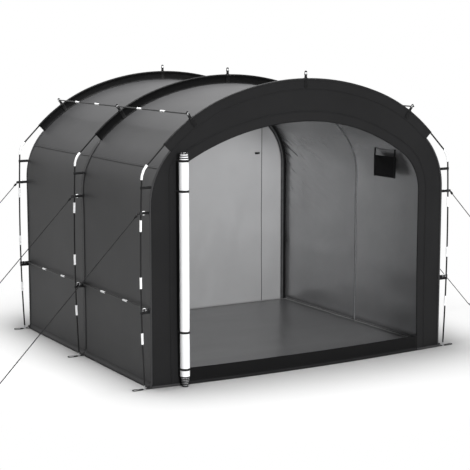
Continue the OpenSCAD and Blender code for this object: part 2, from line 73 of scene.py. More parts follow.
# Thickness of cloth and webbing
FABRIC, FLOOR_T, SLEEVE_T, ROLL_T, POCKET_T = 0.0016, 0.0015, 0.0013, 0.0009, 0.0012
WEBBING_T, TAPE_T, TAB_T, THIN_TAPE_T, SEAM_T = 0.0016, 0.0014, 0.0015, 0.0013, 0.0012

# Doorway: half width, height, and the radii of crown and corner on either side
DOOR_HALF = 1.132
DOOR_APEX = 1.980
HINGE_CURVE = (2.184, 0.080)
FREE_CURVE = (1.725, 0.390)
SILL_BOW = 0.066
BOW_TOP = 0.9

# Hoops and what hangs on them
POLE_OFF = 0.067
TUNNEL_R = 0.0092
RING_AT = 0.115
LEG_TOP = np.array([1.4390, 1.5916])
LEG_TOP_TURN = math.radians(87.6)
FOOT = np.array([1.4310, 0.034])
STRAP_Z = 1.533
GUY_Z = 1.344
SPACER_Z = 0.612

# Rolled door
ROLL_AT = np.array([-1.116, -1.2865])
ROLL_R = 0.0370
ROLL_TOP = 1.781
TIE_Z = (0.135, 0.421, 1.495, 1.7225)
TIE_W = 0.017


def polar(centre, radius, turn):
    """Point at a turn from straight up towards +X."""
    return np.array([centre[0] + radius * math.sin(turn), centre[1] + radius * math.cos(turn)])


CROWN_C = np.array([0.0, ROOF_APEX - CROWN_R])
SHOULDER_C = polar(polar(CROWN_C, CROWN_R, CROWN_TURN), -SHOULDER_R, CROWN_TURN)
CORNER_START = polar(SHOULDER_C, SHOULDER_R, SLEEVE_TURN)
CORNER_R = (HALF_W - CORNER_START[0]) / (1 - math.sin(SLEEVE_TURN))
CORNER_C = polar(CORNER_START, -CORNER_R, SLEEVE_TURN)
WALL_TOP = CORNER_C[1]


def arc(centre, radius, start, stop, step):
    count = max(2, round(abs(stop - start) * radius / step))
    return [polar(centre, radius, start + (stop - start) * k / count) for k in range(count + 1)]


def unit(vectors):
    return vectors / np.maximum(np.linalg.norm(vectors, axis=-1, keepdims=True), 1e-12)


def lengths(points):
    """Distance along a line of points, from its start to each of them."""
    gaps = np.linalg.norm(np.diff(points, axis=0), axis=1)
    return np.concatenate([[0.0], np.cumsum(gaps)])


def resample(points, count):
    points = np.asarray(points, float)
    along = lengths(points)
    at = np.linspace(0, along[-1], count)
    return np.stack([np.interp(at, along, points[:, k]) for k in range(points.shape[1])], 1)


def both_halves(right):
    """Line from the left ground over to the right ground, from its right half, ground to apex."""
    return np.concatenate([right * [-1.0, 1.0], right[::-1][1:]])


def outward(points):
    """Unit normals of a line that runs over the shell from left to right."""
    run = unit(np.gradient(points, axis=0))
    return np.stack([-run[:, 1], run[:, 0]], 1)


def roof_right(step, start=math.pi / 2):
    """Roof curve from a turn on the right corner up to the apex."""
    corner = arc(CORNER_C, CORNER_R, start, SLEEVE_TURN, step) if start > SLEEVE_TURN else []
    shoulder = arc(SHOULDER_C, SHOULDER_R, SLEEVE_TURN, CROWN_TURN, step)
    crown = arc(CROWN_C, CROWN_R, CROWN_TURN, 0, step)
    return np.array([*corner[:-1], *shoulder[:-1], *crown])


def shell_right(step, hem=True):
    """Right half of the shell's outline, with its flared hem, from the ground to the apex."""
    foot = HALF_W + (HEM_FLARE if hem else 0)
    low = [(foot, FOOT_LIFT), ((foot + HALF_W) / 2, HEM_H / 2), (HALF_W, HEM_H)]
    wall = [(HALF_W, z) for z in np.arange(HEM_H + step, WALL_TOP - step / 2, step)]
    return np.array([*low, *wall, *roof_right(step)])


def corner_z(x):
    """Height of the shell's rounded corner at a distance from the middle."""
    return CORNER_C[1] + math.sqrt(CORNER_R**2 - (x - CORNER_C[0]) ** 2)


def wall_x(z):
    """Distance of the side wall's outer face at a height."""
    return HALF_W if z < WALL_TOP else CORNER_C[0] + math.sqrt(CORNER_R**2 - (z - CORNER_C[1]) ** 2)


def leg_x(z):
    """Distance of a leg's middle line from the shelter's middle at a height."""
    chord = FOOT - LEG_TOP
    bend = math.atan2(-chord[1], chord[0]) - LEG_TOP_TURN
    radius = np.linalg.norm(chord) / (2 * math.sin(bend))
    centre = polar(LEG_TOP, -radius, LEG_TOP_TURN)
    return centre[0] + math.sqrt(radius**2 - (z - centre[1]) ** 2)


def with_y(points, y):
    """Points of the hoop's plane, (x, z), put at a depth."""
    points = np.asarray(points, float)
    y = np.broadcast_to(np.asarray(y, float), points.shape[:-1])
    return np.stack([points[..., 0], y, points[..., 1]], -1)


def with_z(plan, z):
    """Points of a plan, (x, y), put at a height."""
    return np.column_stack([plan, np.full(len(plan), z)])


def smooth(low, high, value):
    share = np.clip((value - low) / (high - low), 0, 1)
    return share * share * (3 - 2 * share)


LATTICE = 64


def noise(u, v, seed):
    """Smooth seeded noise from -1 to 1 with one lattice step a unit."""
    lattice = np.random.default_rng(seed).uniform(-1, 1, (LATTICE, LATTICE))
    u, v = np.broadcast_arrays(u, v)
    iu, iv = np.floor(u).astype(int), np.floor(v).astype(int)
    su, sv = smooth(0, 1, u - iu), smooth(0, 1, v - iv)

    def at(a, b):
        return lattice[a % LATTICE, b % LATTICE]

    low = at(iu, iv) * (1 - su) + at(iu + 1, iv) * su
    high = at(iu, iv + 1) * (1 - su) + at(iu + 1, iv + 1) * su
    return low * (1 - sv) + high * sv


class Build:
    """Gathers pieces of mesh, with a finish for each face, into one object."""

    def __init__(self):
        self.points, self.faces, self.finish, self.uv = [], [], [], []

    def add(self, points, faces, finish, uv):
        start = len(self.points)
        self.points.extend(np.asarray(points, float).tolist())
        self.faces.extend([[start + k for k in face] for face in faces])
        self.finish.extend(finish)
        self.uv.extend(np.asarray(uv, float).tolist())

    def make(self, name, slot, finishes, nodes=()):
        mesh = bpy.data.meshes.new(name)
        mesh.from_pydata(self.points, [], self.faces)
        for finish in finishes:
            mesh.materials.append(finish)
        mesh.polygons.foreach_set("material_index", self.finish)
        mesh.polygons.foreach_set("use_smooth", [True] * len(self.faces))
        layer = mesh.uv_layers.new(name="metres")
        layer.data.foreach_set("uv", [x for face in self.faces for k in face for x in self.uv[k]])
        mesh.update()
        obj = bpy.data.objects.new(name, mesh)
        SCENE.collection.objects.link(obj)
        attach(obj, "root")
        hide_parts(*nodes)
        return obj

    def make_cloth(self, name, slot, finishes, nodes, grids, held, rests_on):
        declare(self.make(name, slot, finishes, nodes), grids)


def grid_normals(grid):
    return unit(np.cross(np.gradient(grid, axis=0), np.gradient(grid, axis=1)))


def grid_uv(grid):
    """Flat coordinates of a grid in metres, measured along its middle lines."""
    u = lengths(grid[:, grid.shape[1] // 2])
    v = lengths(grid[grid.shape[0] // 2])
    return np.stack(np.meshgrid(u, v, indexing="ij"), -1).reshape(-1, 2)


def cells(grid):
    """The four corners of each cell of a grid, in order round it."""
    return grid[:-1, :-1], grid[1:, :-1], grid[1:, 1:], grid[:-1, 1:]


def plain_pick(grid):
    """First finish for each cell of a grid."""
    return np.zeros((grid.shape[0] - 1, grid.shape[1] - 1), int)


def add_cloth(build, grid, thick=FABRIC, faces=(0, 0, 0), pick=None):
    """Closed thin sheet about a grid. faces are the finishes of its outer side, inner side and rim;
    pick gives the outer side's finish cell by cell instead."""
    rows, cols = grid.shape[:2]
    count = rows * cols
    shift = grid_normals(grid) * thick / 2
    points = np.concatenate([(grid + shift).reshape(-1, 3), (grid - shift).reshape(-1, 3)])
    at = np.arange(count).reshape(rows, cols)
    outer = np.stack(cells(at), -1).reshape(-1, 4)
    inner = outer[:, ::-1] + count
    edge = np.concatenate([at[:-1, 0], at[-1, :-1], at[1:, -1][::-1], at[0, 1:][::-1]])
    ahead = np.roll(edge, -1)
    rim = np.stack([ahead, edge, edge + count, ahead + count], -1)
    outer_finish = [faces[0]] * len(outer) if pick is None else pick.reshape(-1).tolist()
    finish = outer_finish + [faces[1]] * len(inner) + [faces[2]] * len(rim)
    uv = grid_uv(grid)
    build.add(points, np.concatenate([outer, inner, rim]).tolist(), finish, np.concatenate([uv, uv]))


def make_sheet(name, slot, finishes, nodes, grid, held, rests_on, flip=False, **cloth):
    """Piece that is one sheet of cloth."""
    build = Build()
    add_cloth(build, grid[::-1] if flip else grid, **cloth)
    build.make_cloth(name, slot, finishes, nodes, [grid], held, rests_on)


def flat_size(grid):
    """Width, length and area of the cloth that a grid stands for."""
    wide = max(lengths(grid[k])[-1] for k in range(0, grid.shape[0], max(1, grid.shape[0] // 8)))
    long = max(lengths(grid[:, k])[-1] for k in range(0, grid.shape[1], max(1, grid.shape[1] // 8)))
    a, b, c, d = cells(grid)
    area = 0.5 * np.linalg.norm(np.cross(c - a, d - b), axis=-1).sum()
    return wide, long, float(area)


SPARSE, FILLED = 0.3, 0.9


def declare(obj, grids):
    """Works out the flat width and length of a piece's cloth, taking one that fills little of its box as a
    narrower strip; the sizes are not kept or used.
    """
    sizes = [flat_size(grid) for grid in grids]
    wide = max(size[0] for size in sizes)
    area = sum(size[2] for size in sizes)
    long = max(sum(size[1] for size in sizes), area / wide)
    if area < SPARSE * wide * long:
        wide = area / long / FILLED


def side_frames(path):
    """Two unit vectors across a path, carried along it without twist."""
    run = unit(np.gradient(path, axis=0))
    sides = [unit(np.cross(run[0], UPRIGHT if abs(run[0][2]) < 0.9 else ALONG_X))]
    for k in range(1, len(path)):
        sides.append(unit(sides[-1] - run[k] * np.dot(sides[-1], run[k])))
    side = np.array(sides)
    return side, np.cross(run, side)


STRANDS, LAY_DEPTH = 3, 0.12


def add_tube(build, path, radius, sides=8, finish=0, lay=None):
    """Capped round bar along a path. A lay turns it into cord, whose strands go round once each lay."""
    path = np.asarray(path, float)
    side, up = side_frames(path)
    turn = np.linspace(0, 2 * math.pi, sides, endpoint=False)
    along = lengths(path)
    size = np.full((len(path), sides), radius)
    if lay:
        wave = np.cos(STRANDS * turn + 2 * math.pi * along[:, None] / lay)
        size = radius * (1 - LAY_DEPTH + LAY_DEPTH * wave)
    round_it = np.cos(turn)[None, :, None] * side[:, None] + np.sin(turn)[None, :, None] * up[:, None]
    rings = path[:, None] + size[..., None] * round_it
    at = np.arange(len(path) * sides).reshape(len(path), sides)
    nxt = np.roll(at, -1, axis=1)
    walls = np.stack([at[:-1], nxt[:-1], nxt[1:], at[1:]], -1).reshape(-1, 4).tolist()
    caps = [at[0][::-1].tolist(), at[-1].tolist()]
    uv = np.stack(np.broadcast_arrays(along[:, None], turn[None] * radius), -1).reshape(-1, 2)
    build.add(rings.reshape(-1, 3), walls + caps, [finish] * (len(walls) + 2), uv)


RING_STEPS, WIRE_SIDES = 28, 8


def add_ring(build, centre, axis_a, axis_b, radius, wire):
    """Closed ring of round wire in the plane of two unit vectors."""
    around = np.linspace(0, 2 * math.pi, RING_STEPS, endpoint=False)
    turn = np.linspace(0, 2 * math.pi, WIRE_SIDES, endpoint=False)
    out = np.cos(around)[:, None] * axis_a + np.sin(around)[:, None] * axis_b
    reach = radius + wire * np.cos(turn)
    lift = np.cross(axis_a, axis_b) * (wire * np.sin(turn))[None, :, None]
    points = np.asarray(centre, float) + out[:, None] * reach[None, :, None] + lift
    a = np.arange(RING_STEPS * WIRE_SIDES).reshape(RING_STEPS, WIRE_SIDES)
    b = np.roll(a, -1, axis=0)
    faces = np.stack([a, b, np.roll(b, -1, axis=1), np.roll(a, -1, axis=1)], -1).reshape(-1, 4).tolist()
    build.add(points.reshape(-1, 3), faces, [0] * len(faces), np.zeros((a.size, 2)))


def strap_grid(path, across, width, columns=4):
    """Grid of a strap along a path, with its width along one direction."""
    share = np.linspace(-0.5, 0.5, columns) * width
    return np.asarray(path, float)[:, None] + across * share[None, :, None]


STITCH = 0.0062
STITCH_PITCH = 0.0095
THREAD_R = 0.0007
THREAD_SINK = 0.3
CUBE = [[0, 1, 2, 3], [7, 6, 5, 4], [0, 4, 5, 1], [1, 5, 6, 2], [2, 6, 7, 3], [3, 7, 4, 0]]


def add_stitches(build, path, normals, finish):
    """Row of thread stitches along a path, each a small flat bar that dips into the cloth."""
    path = np.asarray(path, float)
    normals = np.broadcast_to(normals, path.shape)
    along = lengths(path)

    def place(lines, at):
        return np.array([np.interp(at, along, lines[:, k]) for k in range(3)])

    for start in np.arange(STITCH_PITCH, along[-1] - STITCH_PITCH, STITCH_PITCH):
        head, tail = place(path, start), place(path, start + STITCH)
        up = place(normals, start)
        across = np.cross(up, tail - head)
        across *= THREAD_R / max(np.linalg.norm(across), 1e-12)
        lift, sink = up * THREAD_R, -up * THREAD_R * THREAD_SINK
        corners = [head + across, head - across, tail - across, tail + across]
        points = [p + sink for p in corners] + [p + lift for p in corners]
        build.add(points, CUBE, [finish] * len(CUBE), np.zeros((len(points), 2)))


def add_node(tree, kind, **values):
    node = tree.nodes.new(kind)
    for key, value in values.items():
        if key in node.inputs:
            node.inputs[key].default_value = value
        else:
            setattr(node, key, value)
    return node


def math_node(tree, operation, *values, **settings):
    node = add_node(tree, "ShaderNodeMath", operation=operation, **settings)
    for value, socket in zip(values, node.inputs):
        tree.links.new(value, socket)
    return node.outputs[0]


def noise_node(tree, coords, **values):
    node = add_node(tree, "ShaderNodeTexNoise", **values)
    tree.links.new(coords, node.inputs["Vector"])
    return node.outputs["Fac"]


def mix_shaders(tree, share, first, second, target):
    """Mixes two shaders by a share and leads the result to a socket."""
    mix = tree.nodes.new("ShaderNodeMixShader")
    for value, socket in zip((share, first.outputs[0], second.outputs[0]), mix.inputs):
        tree.links.new(value, socket)
    tree.links.new(mix.outputs[0], target)


def new_material(name, rough, spec, metal=0.0):
    mat = bpy.data.materials.new(name)
    mat.use_nodes = True
    bsdf = mat.node_tree.nodes["Principled BSDF"]
    for key, value in (("Roughness", rough), ("Specular IOR Level", spec), ("Metallic", metal)):
        bsdf.inputs[key].default_value = value
    return mat, mat.node_tree, bsdf


def mottle(tree, coords, bsdf, colour, scale, *shades):
    """Base colour that wanders softly between a darker and a lighter shade."""
    soft = noise_node(tree, coords, Scale=scale, Detail=5.0, Roughness=0.6)
    ramp = add_node(tree, "ShaderNodeValToRGB")
    for stop, place, shade in zip(ramp.color_ramp.elements, (0.3, 0.7), shades):
        stop.position = place
        stop.color = (*[min(1.0, c * shade) for c in colour], 1.0)
    tree.links.new(soft, ramp.inputs["Fac"])
    tree.links.new(ramp.outputs["Color"], bsdf.inputs["Base Color"])


def bump_chain(tree, bsdf, layers):
    """Stacks height layers, (socket, strength, distance), into one normal."""
    before = None
    for height, strength, distance in layers:
        bump = add_node(tree, "ShaderNodeBump", Strength=strength, Distance=distance)
        tree.links.new(height, bump.inputs["Height"])
        if before:
            tree.links.new(before, bump.inputs["Normal"])
        before = bump.outputs["Normal"]
    tree.links.new(before, bsdf.inputs["Normal"])


def weave(tree, coords, thread, strength, distance):
    """Height layer of a plain weave whose threads lie a distance apart."""
    waves = []
    for way in ("X", "Y"):
        wave = add_node(tree, "ShaderNodeTexWave", Scale=0.05 / thread, wave_type="BANDS", bands_direction=way)
        tree.links.new(coords, wave.inputs["Vector"])
        waves.append(wave.outputs["Fac"])
    return math_node(tree, "MAXIMUM", *waves), strength, distance


def ease(tree, value, low, high):
    """Smooth rise of a value from nought at one mark to one at the other."""
    share = add_node(tree, "ShaderNodeMapRange", interpolation_type="SMOOTHSTEP")
    share.inputs["From Min"].default_value = low
    share.inputs["From Max"].default_value = high
    tree.links.new(value, share.inputs["Value"])
    return share.outputs["Result"]


CREASE_TURN = math.radians(22)
CREASE_SIZE = (0.5, 0.26, 0.06)
CREASE_DEPTH = 0.02
CREASE_RATIO = 11
FOLD_DEPTH = 0.05


def crease_height(tree, coords):
    """Height of the slanting creases on the side walls, below the shoulder and towards the back hoop."""
    turn = (CREASE_TURN, 0, 0)
    slant = add_node(tree, "ShaderNodeMapping", vector_type="TEXTURE", Rotation=turn, Scale=CREASE_SIZE)
    place = tree.nodes.new("ShaderNodeSeparateXYZ")
    for node in (slant, place):
        tree.links.new(coords, node.inputs["Vector"])
    height = noise_node(tree, slant.outputs["Vector"], Scale=1.0, Detail=2.0, Roughness=0.4, Distortion=0.5)
    x, y, z = place.outputs
    aside = math_node(tree, "ABSOLUTE", x)
    ranges = ((aside, 1.0, 1.3), (y, -0.1, 0.9), (y, 1.225, 1.205), (z, 0.75, 1.25), (z, 1.8, 1.55))
    for value, low, high in ranges:
        height = math_node(tree, "MULTIPLY", height, ease(tree, value, low, high))
    return height


FABRIC_MOTTLE, WEBBING_MOTTLE, HARD_MOTTLE = 2.2, 30.0, 40.0
# Thread spacing, strength and depth of a weave
FABRIC_WEAVE = (0.0016, 0.25, 0.0003)
WEBBING_WEAVE = (0.0022, 0.6, 0.0006)


def fabric(name, colour, rough, spec, crinkle=0.0, metal=0.0, shade=(0.88, 1.1)):
    """Coated cloth: mottled colour, a fine weave and, if asked for, a crinkled coat."""
    mat, tree, bsdf = new_material(name, rough, spec, metal)
    coords = tree.nodes.new("ShaderNodeTexCoord").outputs
    mottle(tree, coords["Object"], bsdf, colour, FABRIC_MOTTLE, *shade)
    layers = [weave(tree, coords["UV"], *FABRIC_WEAVE)]
    if crinkle:
        folds = noise_node(tree, coords["Object"], Scale=4.0, Detail=4.0, Roughness=0.5, Distortion=0.7)
        creases = crease_height(tree, coords["Object"])
        layers = [(folds, crinkle, FOLD_DEPTH), (creases, crinkle * CREASE_RATIO, CREASE_DEPTH), *layers]
    bump_chain(tree, bsdf, layers)
    return mat


def webbing(name, colour):
    """Narrow woven band with close ribs across it."""
    mat, tree, bsdf = new_material(name, 0.8, 0.3)
    coords = tree.nodes.new("ShaderNodeTexCoord").outputs
    mottle(tree, coords["Object"], bsdf, colour, WEBBING_MOTTLE, 0.8, 1.2)
    bump_chain(tree, bsdf, [weave(tree, coords["UV"], *WEBBING_WEAVE)])
    return mat


SCUFF = 0.15


def hard(name, colour, rough, metal=0.0, spec=0.5):
    """Moulded or drawn piece: even colour with faint scuffs in its gloss."""
    mat, tree, bsdf = new_material(name, rough, spec, metal)
    coords = tree.nodes.new("ShaderNodeTexCoord").outputs["Object"]
    mottle(tree, coords, bsdf, colour, HARD_MOTTLE, 0.92, 1.06)
    reach = add_node(tree, "ShaderNodeMapRange")
    reach.inputs["To Min"].default_value = rough
    reach.inputs["To Max"].default_value = rough + SCUFF
    tree.links.new(noise_node(tree, coords, Scale=HARD_MOTTLE * 3, Detail=3.0), reach.inputs["Value"])
    tree.links.new(reach.outputs["Result"], bsdf.inputs["Roughness"])
    return mat


SHELL = fabric("shell_fabric", (0.031, 0.031, 0.032), 0.52, 0.26)
FRONT = fabric("front_fabric", (0.0104, 0.0104, 0.0108), 0.6, 0.14)
SLEEVE = fabric("sleeve_fabric", (0.0045, 0.0045, 0.0047), 0.65, 0.12)
SILVER = fabric("lining_fabric", (0.39, 0.392, 0.398), 0.27, 0.5, 0.06, 0.69, (0.94, 1.06))
# Same silver lining as on the side walls, painted paler to match how bright the back wall looks: the paler
# colour is painted light, standing for the stronger light that falls on the back wall through the doorway
LIT_BACK_LINING = fabric("back_lining_painted_light", (0.72, 0.722, 0.73), 0.27, 0.5, 0.018, 0.52, (0.97, 1.03))
FLOOR = fabric("floor_fabric", (0.2, 0.201, 0.205), 0.3, 0.6, crinkle=0.03, shade=(0.94, 1.04))
DOOR = fabric("door_fabric", (0.76, 0.762, 0.77), 0.5, 0.4, shade=(0.98, 1.0))
POCKET = fabric("pocket_fabric", (0.006, 0.006, 0.0065), 0.75, 0.25)
WEBBING = webbing("webbing", (0.008, 0.008, 0.0085))
BAND = webbing("clip_band", (0.004, 0.004, 0.0042))
SEAM_TAPE = webbing("seam_tape", (0.085, 0.086, 0.088))
TRIM = webbing("trim_tape", (0.05, 0.05, 0.052))
PALE_TRIM = webbing("pale_trim", (0.27, 0.275, 0.283))
THREAD = hard("thread", (0.006, 0.006, 0.0065), 0.7, spec=0.2)
CORD = webbing("guy_cord", (0.009, 0.009, 0.0095))
POLE = hard("pole", (0.005, 0.005, 0.0053), 0.35, spec=0.3)
CLIP = hard("clip_plastic", (0.012, 0.012, 0.013), 0.4)
FERRULE = hard("ferrule", (0.84, 0.845, 0.85), 0.3)
RING = hard("clip_ring", (0.86, 0.865, 0.87), 0.3)
STEEL = hard("peg_steel", (0.55, 0.56, 0.57), 0.28, metal=1.0)


TUG = 0.004
TUG_REACH = 0.055


def tug(height, reach):
    """How far the straps on the legs draw the fabric out, at a height and a distance from the hoop."""
    spread = 2 * TUG_REACH**2
    return TUG * sum(np.exp(-((height - z) ** 2 + reach**2) / spread) for z in (STRAP_Z, GUY_Z, SPACER_Z))


WALL_SAG, ROOF_SAG = 0.008, 0.014
FOLD, PUCKER, SPACER_DENT = 0.0045, 0.0030, 0.003


def bay_push(line, ys, bay):
    """How far each point of a bay's fabric stands out from the hoops' own curve."""
    points, along = line[:, None], lengths(line)[:, None]
    height = points[..., 1]
    reach = np.minimum(ys - ys[0], ys[-1] - ys)[None]
    share = ((ys - ys[0]) / (ys[-1] - ys[0]))[None]
    span = 4 * share * (1 - share)
    roof = smooth(1.25, 1.95, height)
    sag = -(WALL_SAG + ROOF_SAG * roof) * span
    folds = FOLD * noise(along / 0.16, share * 2.5, 21 + bay) * span * (0.35 + 0.65 * (1 - roof))
    gathers = PUCKER * noise(along / 0.030, share * 3, 31 + bay)
    pucker = gathers * np.exp(-reach / 0.06) * smooth(0, 0.03, reach) * roof
    crease = -SPACER_DENT * np.exp(-(((height - SPACER_Z) / 0.1) ** 2)) * smooth(0, 0.3, span)
    return (sag + folds + pucker + crease + tug(height, reach)) * smooth(0.03, 0.22, height)


BAY_STEP = 0.026
BAY_COLUMNS = 64
BAY_GAP = 0.0022


def bay_grid(bay):
    line = both_halves(shell_right(BAY_STEP))
    normals = outward(line)
    share = np.linspace(0, 1, BAY_COLUMNS)
    close = 0.55 * share + 0.45 * smooth(0, 1, share)
    ys = HOOPS[bay] + BAY_GAP + (HOOPS[bay + 1] - HOOPS[bay] - 2 * BAY_GAP) * close
    push = bay_push(line, ys, bay) - INSET
    return with_y(line[:, None] + normals[:, None] * push[..., None], ys[None])


BAYS = {"front": bay_grid(0), "back": bay_grid(1)}
BAY_SHEETS = [f"shell_{word}" for word in BAYS]
LINED = (0, 1, 0)


def make_bays():
    """Roof and both side walls of each bay, as one continuous sheet from hem to hem."""
    for word, grid in BAYS.items():
        nodes = [f"left_wall_{word}", f"roof_{word}", f"right_wall_{word}"]
        rests_on = [f"{word}_sleeve", "middle_sleeve"]
        finishes = [SHELL, SILVER]
        make_sheet(f"shell_{word}", "shell_fabric", finishes, nodes, grid, "stretched", rests_on, faces=LINED)
        make_bay_seams(word, grid)


SEAM_TURN = math.radians(60)
SEAM_W = 0.020
SEAM_PROUD, SEAM_THREAD = 0.0017, 0.0026
HEM_BEAD_R = 0.0022


def row_at(grid, height, side):
    """Row of a bay's grid nearest to a height on one side."""
    half = grid.shape[0] // 2
    rows = range(half) if side < 0 else range(half, grid.shape[0])
    return min(rows, key=lambda k: abs(grid[k, 0, 2] - height))


def make_bay_seams(word, grid):
    """Felled seam at the shoulder, hem bead and their stitching, along both walls of a bay."""
    normals = grid_normals(grid)
    seam_z = CORNER_C[1] + CORNER_R * math.cos(SEAM_TURN)
    build = Build()
    for side in SIDES:
        seam = row_at(grid, seam_z, side)
        line, out = grid[seam], normals[seam]
        along = unit(grid[seam + 1] - grid[seam - 1])
        add_cloth(build, strap_grid(line + out * SEAM_PROUD, along[:, None], SEAM_W)[::-1], SEAM_T)
        for shift in (-0.36, 0.36):
            add_stitches(build, line + out * SEAM_THREAD + along * SEAM_W * shift, out, 2)
        hem = row_at(grid, HEM_H, side)
        add_tube(build, grid[hem] + normals[hem] * 0.0016, HEM_BEAD_R, finish=1)
        above = normals[hem + 1]
        add_stitches(build, grid[hem + 1] * [1, 1, 0] + [0, 0, HEM_H + 0.009] + above * 0.0012, above, 2)
    build.make(f"wall_seams_{word}", "shell_fabric", [SHELL, TRIM, THREAD])


PIPE_R = 0.0075
PIPE_TUCK = 0.006


def make_corner_piping():
    """Corded edges at the front and back corners."""
    build = Build()
    right = np.array([p for p in shell_right(0.02) if p[1] < CORNER_START[1] + PIPE_TUCK])
    right[0] += (right[1] - right[0]) * PIPE_R / (2 * right[1][1])
    for side in SIDES:
        for y, lead in ((FRONT_Y, -1), (BACK_Y, 1)):
            add_tube(build, with_y(right * [side, 1], y + lead * 0.001), PIPE_R, 12)
    build.make("corner_piping", "shell_fabric", [SHELL])


def tape_normals(right, side):
    """Outward normals of one side's line, ground to sleeve."""
    run = unit(np.gradient(right, axis=0))
    return np.stack([run[:, 1] * side, -run[:, 0]], 1)


TAPE_W = 0.044
INNER_SEAM_W = 0.016


def make_middle_tapes():
    """Reinforcing tape down each side wall under the middle hoop."""
    build, tapes = Build(), []
    right = np.array([p for p in shell_right(0.02) if HEM_H < p[1] < CORNER_START[1]])
    for side in SIDES:
        line = right * [side, 1]
        out = tape_normals(right, side)
        line = line + out * tug(line[:, 1], 0.0)[:, None]
        grid = strap_grid(with_y(line + out * 0.0022, MIDDLE_Y), ALONG_Y, TAPE_W, 5)
        tapes.append(grid)
        add_cloth(build, grid if side < 0 else grid[::-1], TAPE_T)
        for shift in (-0.4, 0.4):
            path = with_y(line + out * 0.0032, MIDDLE_Y + TAPE_W * shift)
            add_stitches(build, path, with_y(out, 0.0), 1)
    build.make_cloth("middle_wall_tapes", "shell_fabric", [SHELL, THREAD], [], tapes, "stretched", BAY_SHEETS)


def make_inner_seam():
    """Pale seam inside, behind the middle hoop."""
    line = both_halves(shell_right(0.02, hem=False))
    shift = (tug(line[:, 1], 0.0) - 0.0045)[:, None]
    grid = strap_grid(with_y(line + outward(line) * shift, MIDDLE_Y), ALONG_Y, INNER_SEAM_W, 3)
    place = ("middle_seam_inside", "lining_fabric", [PALE_TRIM], [])
    make_sheet(*place, grid, "stretched", BAY_SHEETS, flip=True, thick=TAPE_T)


def front_bow(x, z):
    """How far the front fabric swings out towards the ground."""
    return SILL_BOW * (1 - (x / HALF_W) ** 2) * np.clip(1 - z / BOW_TOP, 0, 1) ** 2


DOOR_ARC_STEP = 0.005


def door_half(crown, corner):
    """Jamb, corner and crown of half the doorway, from ground to apex, as if it lay on the right."""
    x, reach = DOOR_HALF - corner, crown - corner
    centre = np.array([x, DOOR_APEX - crown + math.sqrt(reach**2 - x**2)])
    turn = math.asin(x / reach)
    return [
        [(DOOR_HALF, 0.0), (DOOR_HALF, centre[1])],
        arc(centre, corner, math.pi / 2, turn, DOOR_ARC_STEP),
        arc((0.0, DOOR_APEX - crown), crown, turn, 0, DOOR_ARC_STEP),
    ]


def door_lines(step):
    """Paired points of the doorway's edge and the shell's edge, from the left ground to the right."""
    outer = [
        [(HALF_W + HEM_FLARE, 0.0), (HALF_W, HEM_H), (HALF_W, WALL_TOP)],
        arc(CORNER_C, CORNER_R, math.pi / 2, SLEEVE_TURN, DOOR_ARC_STEP),
        roof_right(DOOR_ARC_STEP, SLEEVE_TURN),
    ]
    counts = [max(4, round(lengths(np.array(far))[-1] / step)) + 1 for far in outer]

    def joined(pieces):
        parts = [resample(piece, count) for piece, count in zip(pieces, counts)]
        return np.concatenate([part[:-1] for part in parts[:-1]] + [parts[-1]])

    rim = joined(outer)
    left, right = joined(door_half(*HINGE_CURVE)), joined(door_half(*FREE_CURVE))
    return np.concatenate([left * [-1, 1], right[::-1][1:]]), both_halves(rim)


FACING_W = 0.082
FRONT_STEP, FRONT_ROWS, FRONT_SWELL = 0.024, 16, 0.004
FRONT_NODES = ["front_fascia", "front_left_panel", "front_right_panel"]


def on_front(flat, proud):
    """Points of the front's plane, standing a little proud of its fabric."""
    return with_y(flat, FRONT_Y - proud - front_bow(flat[..., 0], flat[..., 1]))


def make_front():
    """Arched front with its doorway, a facing round the opening and a hem along the ground."""
    edge, rim = door_lines(FRONT_STEP)
    share = np.linspace(0, 1, FRONT_ROWS)
    flat = edge[:, None] + (rim - edge)[:, None] * share[None, :, None]
    away = np.linalg.norm(rim - edge, axis=1)[:, None] * share[None]
    swell = FRONT_SWELL * noise(flat[..., 0] / 0.35 + 9, flat[..., 1] / 0.3, 41)
    swell *= smooth(FACING_W + 0.01, FACING_W + 0.10, away) * smooth(1, 0.85, share)[None]
    place = ("front_sheet", "front_fabric", [FRONT, SILVER], FRONT_NODES)
    make_sheet(*place, on_front(flat, swell), "stretched", ["front_sleeve", "corner_piping"], faces=LINED)
    make_facing(edge)
    make_front_hem()


BINDING_R = 0.0034


def make_facing(edge):
    """Second layer of cloth round the doorway, sewn along its outer edge and bound along its inner one."""
    out = outward(edge)

    def beside(offset, proud):
        return on_front(edge + out * offset, proud)

    build = Build()
    grid = np.stack([beside(k, 0.0026) for k in np.linspace(-0.002, FACING_W, 7)], 1)
    add_cloth(build, grid, TAPE_T)
    for inset in (0.006, 0.013):
        add_stitches(build, beside(FACING_W - inset, 0.0036), FORWARD, 2)
    add_tube(build, beside(-0.001, 0.0005), BINDING_R, 10, 1)
    finishes = [FRONT, SLEEVE, THREAD]
    build.make_cloth("door_facing", "front_fabric", finishes, [], [grid], "stretched", ["front_sheet"])


FRONT_HEM_R = 0.0095


def make_front_hem():
    """Stuffed hem along the ground under the panels beside the doorway."""
    build = Build()
    for side in SIDES:
        x = np.linspace(DOOR_HALF + 0.002, HALF_W + 0.004, 14) * side
        flat = np.stack([x, np.full_like(x, FRONT_HEM_R + 0.0012)], 1)
        add_tube(build, on_front(flat, 0.0045), FRONT_HEM_R, 12)
        add_stitches(build, on_front(flat + [0, 0.024], 0.0012), FORWARD, 1)
    build.make("front_hem", "front_fabric", [SHELL, THREAD])


BACK_SEAMS = (-1.095, 1.095)
BACK_SEAM_R, BACK_SEAM_STOP = 0.0026, 0.055
BACK_COLUMNS = 72


